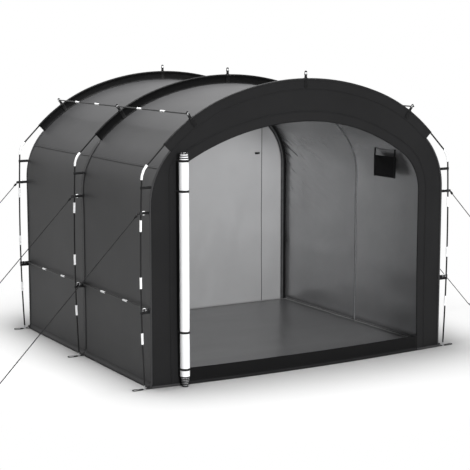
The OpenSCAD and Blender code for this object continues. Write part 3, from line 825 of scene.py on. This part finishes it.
def back_y(x, z):
    """Depth of the back sheet: it hangs nearly flat, with soft upright folds."""
    loose = smooth(0, 0.12, z) * np.clip((HALF_W - np.abs(x)) / 0.15, 0, 1)
    folds = 0.006 * noise(x / 0.22 + 5, z / 0.7, 51) + 0.003 * noise(x / 0.09 + 3, z / 0.22, 52)
    return BACK_Y + folds * loose


def make_back():
    """Back wall, dark outside and silver inside, with two upright seams."""
    right = shell_right(0.03, hem=False)
    half = np.maximum(right[:, 0], 0.004)
    x = half[:, None] * np.linspace(-1, 1, BACK_COLUMNS)[None]
    z = np.repeat(right[:, 1][:, None], BACK_COLUMNS, 1)
    grid = np.stack([x, back_y(x, z), z], -1)
    # The inner face takes the lining painted paler, as painted light for the stronger light on the back wall
    place = ("back_sheet", "lining_fabric", [SHELL, LIT_BACK_LINING], ["back_wall"])
    make_sheet(*place, grid, "stretched", ["back_sleeve", "corner_piping"], faces=LINED)
    make_back_seams()


def make_back_seams():
    """Folded seams that stand up a little on both sides of the back wall."""
    build = Build()
    for x in BACK_SEAMS:
        z = np.linspace(0.01, corner_z(abs(x)) - BACK_SEAM_STOP, 70)
        line = np.stack([np.full_like(z, x), back_y(x, z), z], -1)
        for lead, finish in ((-1, 0), (1, 1)):
            add_tube(build, line + [0, lead * 0.0018, 0], BACK_SEAM_R, finish=finish)
    build.make("back_seams", "lining_fabric", [SLEEVE, SHELL])


FLOOR_HALF_X, FLOOR_HALF_Y = 1.364, 1.217
FLOOR_LIFT, FLOOR_RIPPLE = 0.0014, 0.0045


def make_floor_sheet():
    """Floor laid inside the shell, with a few low wrinkles."""
    x = np.linspace(-FLOOR_HALF_X, FLOOR_HALF_X, 90)[:, None]
    y = np.linspace(-FLOOR_HALF_Y, FLOOR_HALF_Y, 80)[None]
    edge = np.minimum(FLOOR_HALF_X - np.abs(x), FLOOR_HALF_Y - np.abs(y))
    ripple = 0.5 + 0.5 * noise(x / 0.35 + 7, y / 0.16 + 3, 61)
    z = FLOOR_LIFT + FLOOR_RIPPLE * ripple**2 * smooth(0.02, 0.2, edge)
    grid = np.stack(np.broadcast_arrays(x, y, z), -1)
    make_sheet("floor_cloth", "floor_fabric", [FLOOR], ["floor_sheet"], grid, "laid", ["ground"], thick=FLOOR_T)


def tunnel(radius, reach, steps):
    """Section points (height, depth) round the pole tunnel, from its front over the top to its back."""
    turns = np.radians(np.linspace(-reach, reach, steps))
    return [(POLE_OFF + radius * math.cos(t), radius * math.sin(t)) for t in turns]


SLEEVE_FLARE = [(-0.0012, 0.0170), (-0.0002, 0.0085), (0.0036, 0.0042)]
SLEEVE_LAP = [(-0.0140, 0.0024), (-0.0060, 0.0030), (0.0036, 0.0031)]
SLEEVE_WEB = [(0.012, 0.0030), (0.024, 0.0026), (0.038, 0.0026), (0.050, 0.0030), (0.0565, 0.0046)]
SLEEVE_STEP = 0.015
SLEEVE_SWAY = 0.0030


def sleeve_section(hoop):
    """Section (height, depth) of a sleeve. Its edges lie on the roof, or lap over an end wall."""
    front = (SLEEVE_LAP if hoop == 0 else SLEEVE_FLARE) + SLEEVE_WEB
    back = (SLEEVE_LAP if hoop == 2 else SLEEVE_FLARE) + SLEEVE_WEB
    return np.array([(h, -y) for h, y in front] + tunnel(TUNNEL_R, 128, 15) + back[::-1])


def sleeve_grid(hoop):
    """Cloth folded over the hoop pole and sewn down to the roof, with small gathers in its web."""
    line = both_halves(roof_right(SLEEVE_STEP, SLEEVE_TURN))
    normals, along = outward(line), lengths(line)
    section = sleeve_section(hoop)
    height, depth = section[:, 0][None], section[:, 1][None]
    web = np.exp(-(((height - 0.030) / 0.018) ** 2))
    sway = SLEEVE_SWAY * noise(along[:, None] / 0.065, height / 0.08, 71 + hoop) * web
    flat = line[:, None] + normals[:, None] * np.broadcast_to(height, sway.shape)[..., None]
    return with_y(flat, HOOPS[hoop] + depth + sway)


def make_sleeves():
    for hoop, word in enumerate(HOOP_WORDS):
        grid = sleeve_grid(hoop)
        build = Build()
        add_cloth(build, grid, SLEEVE_T)
        normals = grid_normals(grid)
        for column in (7, grid.shape[1] - 8, 1, grid.shape[1] - 2):
            add_stitches(build, grid[:, column] + normals[:, column] * 0.0009, normals[:, column], 1)
        slot, cloth = ("front_fabric", FRONT) if hoop == 0 else ("sleeve_fabric", SLEEVE)
        place = (f"{word}_sleeve_cloth", slot, [cloth, THREAD], [f"{word}_sleeve"])
        build.make_cloth(*place, [grid], "stretched", [f"{word}_crown_pole"])


SILL_SECTION = np.array([
    (0.0050, 0.0012), (-0.0020, 0.0014), (-0.0052, 0.0040), (-0.0064, 0.0110), (-0.0052, 0.0185),
    (-0.0022, 0.0225), (-0.0008, 0.0260), (0.0000, 0.0420), (0.0004, 0.0700), (0.0006, 0.1000),
    (0.0008, 0.1240), (0.0018, 0.1292), (0.0032, 0.1265), (0.0034, 0.1000),
])
SILL_HEM_ROWS = 5
SILL_STITCH_ROWS = (7, 10)


def make_sill():
    """Bowed strip across the foot of the doorway: a plain band over a stuffed hem."""
    x = np.linspace(-DOOR_HALF + 0.001, DOOR_HALF - 0.001, 110)[:, None]
    depth, z = SILL_SECTION[:, 0][None], SILL_SECTION[:, 1][None]
    lean = 0.0025 * noise(x / 0.14, z / 0.05, 81) * smooth(0.02, 0.05, z)
    y = FRONT_Y - front_bow(x, np.zeros_like(x)) + depth + lean
    grid = np.stack(np.broadcast_arrays(x, y, z), -1)
    pick = plain_pick(grid)
    pick[:, :SILL_HEM_ROWS] = 1
    build = Build()
    add_cloth(build, grid, TAPE_T, pick=pick)
    for row in SILL_STITCH_ROWS:
        add_stitches(build, grid[:, row] + [0, -0.0010, 0], FORWARD, 2)
    place = ("sill_strip", "sleeve_fabric", [SLEEVE, FRONT, THREAD], ["door_sill"])
    build.make_cloth(*place, [grid], "stretched", ["front_sheet", "floor_cloth"])


ROLL_TURNS = 13
ROLL_SEGMENTS = 32
ROLL_CORE = 0.006
TOP_STEPS, TOP_STEP, TOP_BINDING = 3, 0.0165, 0.0085
FOOT_STEPS, FOOT_STEP, FOOT_BINDING = 5, 0.0140, 0.0110
LAYER_LEN = 1.68
FLAP, FLAP_STEPS, FLAP_BOUND = 0.056, 6, 5
TIE_PINCH, TIE_REACH = 0.055, 0.022


def roll_path():
    """Spiral of the rolled door in plan, from its core out, then back to the jamb."""
    turn = np.linspace(0, 2 * math.pi * ROLL_TURNS, ROLL_TURNS * ROLL_SEGMENTS + 1)
    share = turn / turn[-1]
    radius = ROLL_CORE + (ROLL_R - ROLL_CORE) * share
    spiral = np.stack([-radius * np.cos(turn), radius * np.sin(turn)], 1)
    flap = [spiral[-1] + [0, FLAP * k / FLAP_STEPS] for k in range(1, FLAP_STEPS + 1)]
    return np.concatenate([spiral, flap]), np.concatenate([share, np.ones(FLAP_STEPS)])


def roll_end(share, steps, step):
    """How far each layer draws back from an end of the roll: the outer turns do, a step a turn."""
    turns = np.maximum(share * ROLL_TURNS - (ROLL_TURNS - steps), 0)
    whole = np.floor(turns)
    return step * (whole + smooth(0.0, 0.3, turns - whole) * (turns > 0))


def pinch(z):
    """Share of its radius that the roll keeps at a height: the ties draw it in."""
    return 1 - sum(TIE_PINCH * np.exp(-(((z - tie) / TIE_REACH) ** 2)) for tie in TIE_Z)


def roll_heights():
    """Heights of a layer as shares of its length: close at the bound ends and at the ties."""
    foot = [0.0, FOOT_BINDING / LAYER_LEN, 0.02]
    top = [1.0, 1 - TOP_BINDING / LAYER_LEN, 0.98]
    ties = [z / ROLL_TOP + k * 0.008 for z in TIE_Z for k in (-2, -1, 0, 1, 2)]
    plain = list(np.linspace(0.07, 0.93, 14))
    shares = sorted({round(s, 5) for s in foot + top + ties + plain if 0 <= s <= 1})
    return np.array([s for k, s in enumerate(shares) if k == 0 or s - shares[k - 1] > 0.003])


def roll_pick(grid, at):
    """Finish of the roll's cells: bound along both ends and down the free edge by the jamb."""
    pick = plain_pick(grid)
    at_foot = at[:-1] * LAYER_LEN < FOOT_BINDING * 0.98
    at_top = (1 - at[1:]) * LAYER_LEN < TOP_BINDING * 0.98
    pick[:, at_foot | at_top] = 1
    pick[-FLAP_BOUND:] = 1
    return pick


def make_roll():
    """Door rolled up beside its jamb: one long sheet wound into a spiral, its edges bound in black."""
    path, share = roll_path()
    at = roll_heights()
    low = roll_end(share, FOOT_STEPS, FOOT_STEP)
    high = ROLL_TOP - roll_end(share, TOP_STEPS, TOP_STEP)
    z = low[:, None] + (high - low)[:, None] * at[None]
    ripple = 1 + 0.012 * noise(np.arctan2(path[:, 1], path[:, 0])[:, None] * 1.6 + 8, z / 0.12, 91)
    size = np.where(share[:, None] < 1, pinch(z) * ripple, 1.0)
    flat = path[:, None] * size[..., None] + ROLL_AT
    grid = np.concatenate([flat, z[..., None]], -1)
    pick = roll_pick(grid, at)[::-1]
    place = ("door_roll", "door_fabric", [DOOR, SLEEVE], ["rolled_door"])
    held = ("gathered", ["door_ties_webbing", "front_sheet"])
    make_sheet(*place, grid, *held, flip=True, thick=ROLL_T, faces=(0, 0, 1), pick=pick)


def tie_plan(z):
    """Line of a tie in plan, from the roll's middle: sewn down, round the roll and sewn down again."""
    radius = ROLL_R * pinch(np.array(z)) + 0.0022
    back = FRONT_Y - 0.0032 - ROLL_AT[1]
    ring = [(radius * math.cos(t), radius * math.sin(t)) for t in np.linspace(0, -math.pi, 25)]
    tail = [(radius + 0.016, back), (radius + 0.004, back - 0.001)]
    tail += [(radius + 0.0005, back - 0.008), (radius, back * 0.5)]
    return np.array(tail + ring + [(-x, y) for x, y in reversed(tail)])


def make_ties():
    """Webbing ties that hold the roll against the front."""
    build = Build()
    grids = [strap_grid(with_z(tie_plan(z) + ROLL_AT, z), UPRIGHT, TIE_W) for z in TIE_Z]
    for grid in grids:
        add_cloth(build, grid[::-1], WEBBING_T)
    place = ("door_ties_webbing", "webbing", [WEBBING], ["door_ties"])
    build.make_cloth(*place, grids, "stretched", ["door_roll"])


STRAP_W = 0.022
LEG_LOOP_R = 0.0086
WALL_STRAP_Z = SPACER_Z - 0.019
LEG_WEBBING = (
    ("leg_strap_webbing", STRAP_Z, 0.034, ["leg_straps"]),
    ("guy_strap_webbing", GUY_Z, 0.026, []),
    ("wall_strap_webbing", WALL_STRAP_Z, 0.026, []),
)


def leg_strap_grid(side, y, z, patch):
    """Webbing folded round a leg. Its ends are sewn to the wall, or into the cording at a corner."""
    wall, leg = wall_x(z) + TUG + 0.004, leg_x(z)
    flat = [(wall - 0.001, patch), (wall + 0.0005, 0.010), (wall + 0.003, 0.0042), (wall + 0.010, 0.0016)]
    half = (flat if y == MIDDLE_Y else [(wall, 0.0016)]) + [(leg - 0.020, 0.0016)]
    turns = np.radians(np.linspace(150, -150, 19))
    loop = [(leg + LEG_LOOP_R * math.cos(t), LEG_LOOP_R * math.sin(t)) for t in turns]
    plan = np.array(half + loop + [(x, -d) for x, d in reversed(half)])
    grid = strap_grid(with_z(plan * [side, 1] + [0, y], z), UPRIGHT, STRAP_W)
    return grid if side < 0 else grid[::-1]


def make_leg_webbing():
    """Straps that tie the walls to the legs, at three heights on every leg."""
    for name, z, patch, nodes in LEG_WEBBING:
        build, grids = Build(), []
        for y, side in POSTS:
            grids.append(leg_strap_grid(side, y, z, patch))
            add_cloth(build, grids[-1], WEBBING_T)
            add_bar_tacks(build, side, y, z)
        build.make_cloth(name, "webbing", [WEBBING, THREAD], nodes, grids, "stretched", BAY_SHEETS)


TACK_HALF, TACK_GAP = 0.0105, 0.006


def add_bar_tacks(build, side, y, z):
    """Two short rows of close stitching that hold a folded strap together by the wall."""
    x = (wall_x(z) + 0.019) * side
    for lead in SIDES:
        for shift in (0.0, TACK_GAP * side):
            path = [(x + shift, y + lead * 0.0026, z + end) for end in (-TACK_HALF, TACK_HALF)]
            add_stitches(build, resample(path, 6), ALONG_Y * lead, 1)


def clip_places():
    """Middle of each upright clip's base, with the directions along the arch and out from it."""
    apex = polar(CROWN_C, CROWN_R, 0.0)
    shoulder = polar(SHOULDER_C, SHOULDER_R, CLIP_TURN)
    for y in HOOPS:
        for turn, base in ((-CLIP_TURN, shoulder * [-1, 1]), (0.0, apex), (CLIP_TURN, shoulder)):
            out = np.array([math.sin(turn), 0.0, math.cos(turn)])
            along = np.array([math.cos(turn), 0.0, -math.sin(turn)])
            yield turn, with_y(base, y), along, out


CLIP_W = 0.034
TAB_HOLE = 0.0078
TAB_LAYER, TAB_FOOT_LAYER = 0.0021, 0.0040
TAB_TURNS = 49
WRAP_FRONT = [
    (0.0030, -0.0120), (0.0055, -0.0068), (0.013, -0.0058),
    (0.030, -0.0054), (0.048, -0.0058), (0.056, -0.0072),
]
TAB_SIDE = [(0.0, -0.0372), (0.0120, -0.0372), (0.0108, -0.0290), (0.0092, -0.0180), (0.0090, 0.0)]


def wrap_section():
    """Line of a clip's band over a sleeve, (height, depth), from its front base to its back base."""
    back = [(h, -y) for h, y in reversed(WRAP_FRONT)]
    return np.array(WRAP_FRONT + tunnel(TUNNEL_R + 0.0022, 122, 13) + back)


def tab_outline():
    """Half outline of a clip's tab, (across, height) from its ring's middle, from its foot to its tip."""
    turns = np.radians(np.linspace(10, 90, 9))
    return np.array(TAB_SIDE + [(0.0098 * math.cos(t), 0.0115 + 0.0085 * math.sin(t)) for t in turns])


def tab_grid(base, along, out, lead):
    """One layer of a clip's tab: webbing with a round eye for the ring."""
    half = tab_outline()
    angle = np.arctan2(half[:, 0], -half[:, 1])
    turns = np.linspace(-math.pi, math.pi, TAB_TURNS)
    reach = np.interp(np.abs(turns), angle, np.linalg.norm(half, axis=1))
    radius = TAB_HOLE + (reach[:, None] - TAB_HOLE) * np.linspace(0, 1, 4)[None]
    across = radius * np.sin(turns)[:, None]
    height = RING_AT - radius * np.cos(turns)[:, None]
    depth = lead * np.where(height > RING_AT - 0.026, TAB_LAYER, TAB_FOOT_LAYER)
    return base + along * across[..., None] + out * height[..., None] + ALONG_Y * depth[..., None]


def add_tab_stitches(build, base, along, out):
    """Box of stitches across the foot of a tab, on both its faces."""
    for lead in SIDES:
        face = ALONG_Y * lead
        for lift in (-0.0245, -0.0120):
            middle = base + out * (RING_AT + lift)
            row = [middle + along * (0.0085 * k) + face * (TAB_LAYER + 0.0010) for k in SIDES]
            add_stitches(build, resample(row, 5), face, 1)


def make_clips():
    """Webbing clips: a band down both faces of the sleeve and an upright tab with a ring in its eye."""
    wrap = wrap_section()
    for word, upright in (("apex", True), ("shoulder", False)):
        build, grids = Build(), []
        for turn, base, along, out in clip_places():
            if (turn == 0.0) != upright:
                continue
            line = base + out * wrap[:, :1] + ALONG_Y * wrap[:, 1:]
            band = np.stack([line + along * k for k in np.linspace(-0.5, 0.5, 5) * CLIP_W], 0)
            front, back = (tab_grid(base, along, out, lead) for lead in SIDES)
            grids += [band, front, back]
            add_cloth(build, band, TAPE_T, faces=(2, 2, 0))
            add_cloth(build, front, TAB_T)
            add_cloth(build, back[::-1], TAB_T)
            add_tab_stitches(build, base, along, out)
        place = (f"{word}_clip_webbing", "webbing", [WEBBING, THREAD, BAND], [f"{word}_clips"])
        build.make_cloth(*place, grids, "folded", [f"{hoop}_sleeve_cloth" for hoop in HOOP_WORDS])


FOOT_LOOP = 0.090
FOOT_STRAP_W = 0.017
FOOT_RING_Z, FOOT_RING_R, FOOT_WIRE_R = 0.0065, 0.0105, 0.0018


def make_feet():
    """Webbing at each foot: a tab from the hem to a steel ring round the pin, and a peg loop beyond it."""
    build, rings, grids = Build(), Build(), []
    for y, side in POSTS:
        pin_x = FOOT[0] * side
        for plan in (foot_tab(), foot_peg_loop()):
            grid = strap_grid(with_y(plan * [side, 1] + [pin_x, 0], y), ALONG_Y, FOOT_STRAP_W)
            grids.append(grid if side > 0 else grid[::-1])
            add_cloth(build, grids[-1], THIN_TAPE_T)
        add_ring(rings, [pin_x, y, FOOT_RING_Z], ALONG_X, ALONG_Y, FOOT_RING_R, FOOT_WIRE_R)
    build.make_cloth("foot_straps", "webbing", [WEBBING], ["foot_webbing"], grids, "laid", ["ground"])
    rings.make("foot_rings", "peg_steel", [STEEL])


def foot_tab():
    """Line (along, height) from the hem down to the ring and back over itself."""
    start = HALF_W + HEM_FLARE - FOOT[0]
    return np.array([
        (start + 0.0005, 0.0300), (start + 0.004, 0.0200), (start + 0.012, 0.0120), (start + 0.022, 0.0090),
        (-0.0115, 0.0088), (-0.0090, 0.0065), (-0.0115, 0.0042),
        (start + 0.020, 0.0035), (start + 0.004, 0.0030),
    ])


def foot_peg_loop():
    """Line (along, height) of a loop that lies on the ground outside the ring."""
    return np.array([
        (0.0150, 0.0022), (0.030, 0.0018), (0.060, 0.0016), (FOOT_LOOP - 0.006, 0.0018),
        (FOOT_LOOP + 0.006, 0.0032), (FOOT_LOOP + 0.009, 0.0075), (FOOT_LOOP + 0.004, 0.0115),
        (FOOT_LOOP - 0.012, 0.0125), (0.050, 0.0100), (0.026, 0.0090),
        (0.0120, 0.0088), (0.0092, 0.0065), (0.0118, 0.0046), (0.024, 0.0042), (0.040, 0.0042),
    ])


GUY_EYE_X = leg_x(GUY_Z) + 0.0195
PEG_X = leg_x(GUY_Z) + 1.315
PEG_LOOP_Z, PEG_LOOP_R, PEG_CORD_R = 0.012, 0.0068, 0.0030
EYE_MID, EYE_LOOP_R, EYE_CORD_R = 0.00725, 0.00725, 0.0027
GUY_R = 0.0038
GUY_SIDES, GUY_LAY = 9, 0.022
KNOT_TURNS = 4


def guy_path(side, y):
    """Taut line from the loop in the clip's eye down to its peg."""
    eye = np.array([GUY_EYE_X, GUY_Z])
    end = np.array([PEG_X - PEG_LOOP_R, PEG_LOOP_Z])
    line = resample([eye + unit(end - eye) * (EYE_MID + EYE_LOOP_R), end], 150)
    return with_y(line * [side, 1], y)


def knot_path(start, run):
    """Wraps of cord round the first part of a guy line."""
    along = np.linspace(0.004, 0.027, KNOT_TURNS * 14)[:, None]
    turns = np.linspace(0, 2 * math.pi * KNOT_TURNS, len(along))[:, None]
    wrap = np.cos(turns) * ALONG_Y + np.sin(turns) * np.cross(run, ALONG_Y)
    return start + along * run + GUY_R * 1.75 * wrap


def make_guy_lines():
    """Laid cords with a wrapped knot at the clip and a loop round the peg."""
    for side, word in zip(SIDES, ("left", "right")):
        build = Build()
        for y in HOOPS:
            path = guy_path(side, y)
            run = unit(path[-1] - path[0])
            add_tube(build, path, GUY_R * 1.05, GUY_SIDES, lay=GUY_LAY)
            add_tube(build, knot_path(path[0], run), GUY_R * 0.8)
            add_ring(build, path[0] - run * EYE_LOOP_R, run, ALONG_Y, EYE_LOOP_R, EYE_CORD_R)
            add_ring(build, [PEG_X * side, y, PEG_LOOP_Z], ALONG_X, ALONG_Y, PEG_LOOP_R, PEG_CORD_R)
        build.make(f"{word}_guy_cords", "guy_cord", [CORD], [f"{word}_guy_lines"])


STRAP_RING_R, STRAP_WIRE_R = 0.0137, 0.0024


def make_strap_rings():
    """Pale rings between the wall straps and the hooks on the legs."""
    build = Build()
    for y, side in POSTS:
        for z in (GUY_Z, SPACER_Z):
            at = [(leg_x(z) - 0.024) * side, y, z + 0.0005]
            add_ring(build, at, ALONG_X, UPRIGHT, STRAP_RING_R, STRAP_WIRE_R)
    build.make("strap_rings", "clip_ring", [RING])


def wall_inside(y, z):
    """Inner face of the right wall's fabric in the front bay, as drawn in between the hoops."""
    right = BAYS["front"]
    right = right[right.shape[0] // 2:]
    line = right[:, np.abs(right[0, :, 1] - y).argmin()]
    line = line[line[:, 2].argsort()]
    return np.interp(z, line[:, 2], line[:, 0]) - 0.003


POCKET_LOW, POCKET_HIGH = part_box("storage_pocket")
POCKET_Y = (POCKET_LOW.y, POCKET_HIGH.y)
POCKET_Z = (POCKET_LOW.z, POCKET_HIGH.z)
POCKET_STRAP_TOP = 1.659
POCKET_X = min(wall_inside(y, POCKET_STRAP_TOP) for y in POCKET_Y)
POCKET_BULGE = 0.012
HANGER_W = 0.022


def pocket_face(bulge):
    """One face of the pocket. The front one bellies out and sags a little at its mouth."""
    y = np.linspace(*POCKET_Y, 30)[None]
    z = np.linspace(*POCKET_Z, 22)[:, None]
    across = np.clip((y - POCKET_Y[0]) / (POCKET_Y[1] - POCKET_Y[0]), 0, 1)
    up = (z - POCKET_Z[0]) / (POCKET_Z[1] - POCKET_Z[0])
    arch = np.sin(math.pi * across)
    belly = arch**0.6 * (0.55 * np.sin(math.pi * np.clip(up * 0.9 + 0.1, 0, 1)) + 0.45 * up)
    slack = 0.0016 * noise(across * 7, up * 5, 101) * arch
    dip = -0.010 * arch * smooth(0.75, 1.0, up) * bulge / POCKET_BULGE
    x = POCKET_X - 0.002 - (bulge * belly + slack * (bulge > 0))
    return np.stack(np.broadcast_arrays(x, y, z + dip), -1)


def make_pocket():
    """Hanging pocket: a flat back, a bellied front, bound edges and two straps that run up to the wall."""
    back, front = pocket_face(0.0), pocket_face(POCKET_BULGE)
    build = Build()
    add_cloth(build, back, POCKET_T)
    add_cloth(build, front, POCKET_T)
    add_tube(build, np.concatenate([front[::-1, 0], front[0], front[:, -1]]), 0.0026, finish=1)
    add_tube(build, front[-1], 0.0022, finish=1)
    place = ("pocket_bag", "pocket_fabric", [POCKET, WEBBING], ["storage_pocket"])
    build.make_cloth(*place, [back, front], "hung", ["pocket_hangers"])
    make_pocket_hangers()


def make_pocket_hangers():
    """Two straps behind the pocket, and the pale cord that runs between their tops."""
    build, grids = Build(), []
    z = np.linspace(POCKET_Z[0] - 0.004, POCKET_STRAP_TOP, 16)
    above = POCKET_X - 0.004 + 0.003 * smooth(POCKET_Z[1], POCKET_STRAP_TOP, z)
    x = np.where(z < POCKET_Z[1], POCKET_X - 0.0055, above)
    for y in (POCKET_Y[0] + HANGER_W / 2, POCKET_Y[1] - HANGER_W / 2):
        grids.append(strap_grid(with_y(np.stack([x, z], 1), y), ALONG_Y, HANGER_W))
        add_cloth(build, grids[-1], TAPE_T)
    across = np.linspace(0, 1, 13)
    y = POCKET_Y[0] + (POCKET_Y[1] - POCKET_Y[0]) * across
    z = POCKET_STRAP_TOP - 0.006 - 0.006 * np.sin(math.pi * across)
    x = [wall_inside(*at) - 0.002 for at in zip(y, z)]
    add_tube(build, np.stack([x, y, z], 1), 0.0018, finish=1)
    place = ("pocket_hangers", "webbing", [WEBBING, PALE_TRIM], ["pocket_straps"])
    build.make_cloth(*place, grids, "hung", ["shell_front"])


BAND_W = 0.048
BAND_INSET = 0.0042


def make_back_band():
    """Dark tape that covers the seam between the back wall and the shell, with a pale cord along it."""
    line = both_halves(shell_right(0.024, hem=False))
    line[0, 1] = line[-1, 1] = 0.005
    normals = outward(line)
    inset = np.linspace(BAND_INSET, BAND_INSET + BAND_W, 6)
    lift = 0.0045 + 0.010 * smooth(0.022, 0.004, inset)
    flat = line[:, None] - normals[:, None] * inset[None, :, None]
    grid = with_y(flat, BACK_Y - np.broadcast_to(lift, flat.shape[:2]))
    pick = plain_pick(grid)
    pick[:, 2:4] = 2
    build = Build()
    add_cloth(build, grid[::-1], THIN_TAPE_T, pick=pick)
    add_tube(build, with_y(line - normals * (0.0052 + BAND_W), BACK_Y - 0.0055), 0.0024, finish=1)
    place = ("back_band_tape", "webbing", [WEBBING, PALE_TRIM, SEAM_TAPE], ["back_seam_band"])
    build.make_cloth(*place, [grid], "stretched", ["back_sheet"])


BACK_LOOP_W, BACK_LOOP_RISE = 0.020, 0.009


def make_back_loop():
    """Small sewn loop on the back wall."""
    low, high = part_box("back_wall_loop")
    mid_z = (low.z + high.z) / 2
    x = np.linspace(low.x, high.x, 15)
    share = (x - low.x) / (high.x - low.x)
    rise = BACK_LOOP_RISE * np.sin(math.pi * np.clip(share * 1.4 - 0.2, 0, 1)) ** 2
    y = back_y(x, np.full_like(x, mid_z)) - 0.0022 - rise
    grid = strap_grid(with_z(np.stack([x, y], 1), mid_z), UPRIGHT, BACK_LOOP_W)
    place = ("back_loop_webbing", "webbing", [WEBBING], ["back_wall_loop"])
    make_sheet(*place, grid, "stretched", ["back_sheet"], thick=TAPE_T)


NODE_FINISHES = (
    ("spacer_ferrules", FERRULE), ("leg_ferrules", FERRULE), ("elbow_ferrules", FERRULE),
    ("clip_rings", RING), ("foot_pins", STEEL), ("guy_pegs", STEEL),
    ("guy_clips", CLIP), ("wall_clips", CLIP),
    ("_spacer", POLE), ("_pole", POLE), ("_leg", POLE),
)


def dress_nodes():
    """Gives the CAD's own poles and fittings their finish; the rest stays hidden behind its cloth."""
    for name, obj in NODES.items():
        finish = next((mat for key, mat in NODE_FINISHES if key in name), SHELL)
        obj.data.materials.clear()
        obj.data.materials.append(finish)


CAMERA_AT = (-5.754, -9.985, 2.644)
CAMERA_YAW = 30.271
CAMERA_PITCH = 8.535
CAMERA_LENS = 101.82
SENSOR = 36.0


def make_camera():
    data = bpy.data.cameras.new("camera")
    data.lens = CAMERA_LENS
    data.sensor_width = SENSOR
    cam = bpy.data.objects.new("camera", data)
    cam.location = CAMERA_AT
    cam.rotation_euler = (math.radians(90 - CAMERA_PITCH), 0, math.radians(-CAMERA_YAW))
    SCENE.collection.objects.link(cam)
    SCENE.camera = cam


WHITE = (1, 1, 1, 1)
SKY = 0.25
FLOOR_SIZE = 60.0
FADE_FROM, FADE_TO = 1.7, 3.2
GROUND_GREY = (0.52, 0.52, 0.52, 1)
GROUND_DROP = 0.0006


def seen_rays(tree):
    """One for rays that show the background to the eye, straight or by way of gloss or glass."""
    path = tree.nodes.new("ShaderNodeLightPath").outputs
    total = path["Is Camera Ray"]
    for kind in ("Is Glossy Ray", "Is Transmission Ray"):
        total = math_node(tree, "ADD", total, path[kind], use_clamp=True)
    return total


def fade_to_white(tree, bsdf):
    """Shows a floor white at a distance from the object, so that it has no horizon."""
    place = tree.nodes.new("ShaderNodeNewGeometry")
    away = add_node(tree, "ShaderNodeVectorMath", operation="LENGTH")
    tree.links.new(place.outputs["Position"], away.inputs[0])
    far = ease(tree, away.outputs["Value"], FADE_FROM, FADE_TO)
    share = math_node(tree, "MULTIPLY", far, seen_rays(tree))
    white = add_node(tree, "ShaderNodeEmission", Color=WHITE, Strength=1.0)
    mix_shaders(tree, share, bsdf, white, tree.nodes["Material Output"].inputs["Surface"])


def make_ground():
    """Plain pale floor that only carries the shadow."""
    mesh = bpy.data.meshes.new("studio_floor")
    corners = [(x * FLOOR_SIZE, y * FLOOR_SIZE, 0) for x, y in ((-1, -1), (1, -1), (1, 1), (-1, 1))]
    mesh.from_pydata(corners, [], [(0, 1, 2, 3)])
    ground = bpy.data.objects.new("studio_floor", mesh)
    ground.location.z = -GROUND_DROP
    mat, tree, bsdf = new_material("studio_floor", rough=1.0, spec=0.0)
    bsdf.inputs["Base Color"].default_value = GROUND_GREY
    fade_to_white(tree, bsdf)
    mesh.materials.append(mat)
    SCENE.collection.objects.link(ground)


def make_world():
    """Even studio light, and pure white where the camera looks past the object."""
    world = bpy.data.worlds.new("studio")
    SCENE.world = world
    world.use_nodes = True
    tree = world.node_tree
    tree.nodes.clear()
    out = tree.nodes.new("ShaderNodeOutputWorld")
    soft, white = (add_node(tree, "ShaderNodeBackground", Color=WHITE, Strength=power) for power in (SKY, 1.0))
    mix_shaders(tree, seen_rays(tree), soft, white, out.inputs["Surface"])


def area_light(name, at, aim, size, power, gloss=True):
    """Round light aimed at a point. Without gloss it lights the object but shows in no reflection."""
    data = bpy.data.lights.new(name, "AREA")
    data.shape = "DISK"
    data.size = size
    data.energy = power
    lamp = bpy.data.objects.new(name, data)
    lamp.location = at
    lamp.visible_glossy = gloss
    lamp.rotation_euler = (Vector(aim) - Vector(at)).to_track_quat("-Z", "Y").to_euler()
    SCENE.collection.objects.link(lamp)


def make_studio():
    make_camera()
    make_ground()
    make_world()
    area_light("top_light", (-0.45, -0.2, 7.0), (0, 0, 1.5), 3.2, 940)
    area_light("front_light", (-1.35, -9.0, 2.5), (-0.1, 1.0, 1.2), 2.0, 720, gloss=False)
    SCENE.view_settings.view_transform = "Standard"


def make_shelter():
    dress_nodes()
    make_bays()
    make_corner_piping()
    make_middle_tapes()
    make_inner_seam()
    make_front()
    make_back()
    make_floor_sheet()
    make_sleeves()
    make_sill()
    make_roll()
    make_ties()
    make_leg_webbing()
    make_clips()
    make_feet()
    make_guy_lines()
    make_strap_rings()
    make_pocket()
    make_back_band()
    make_back_loop()


def corners(low, high):
    return [list(low), list(high)]


make_shelter()
make_studio()
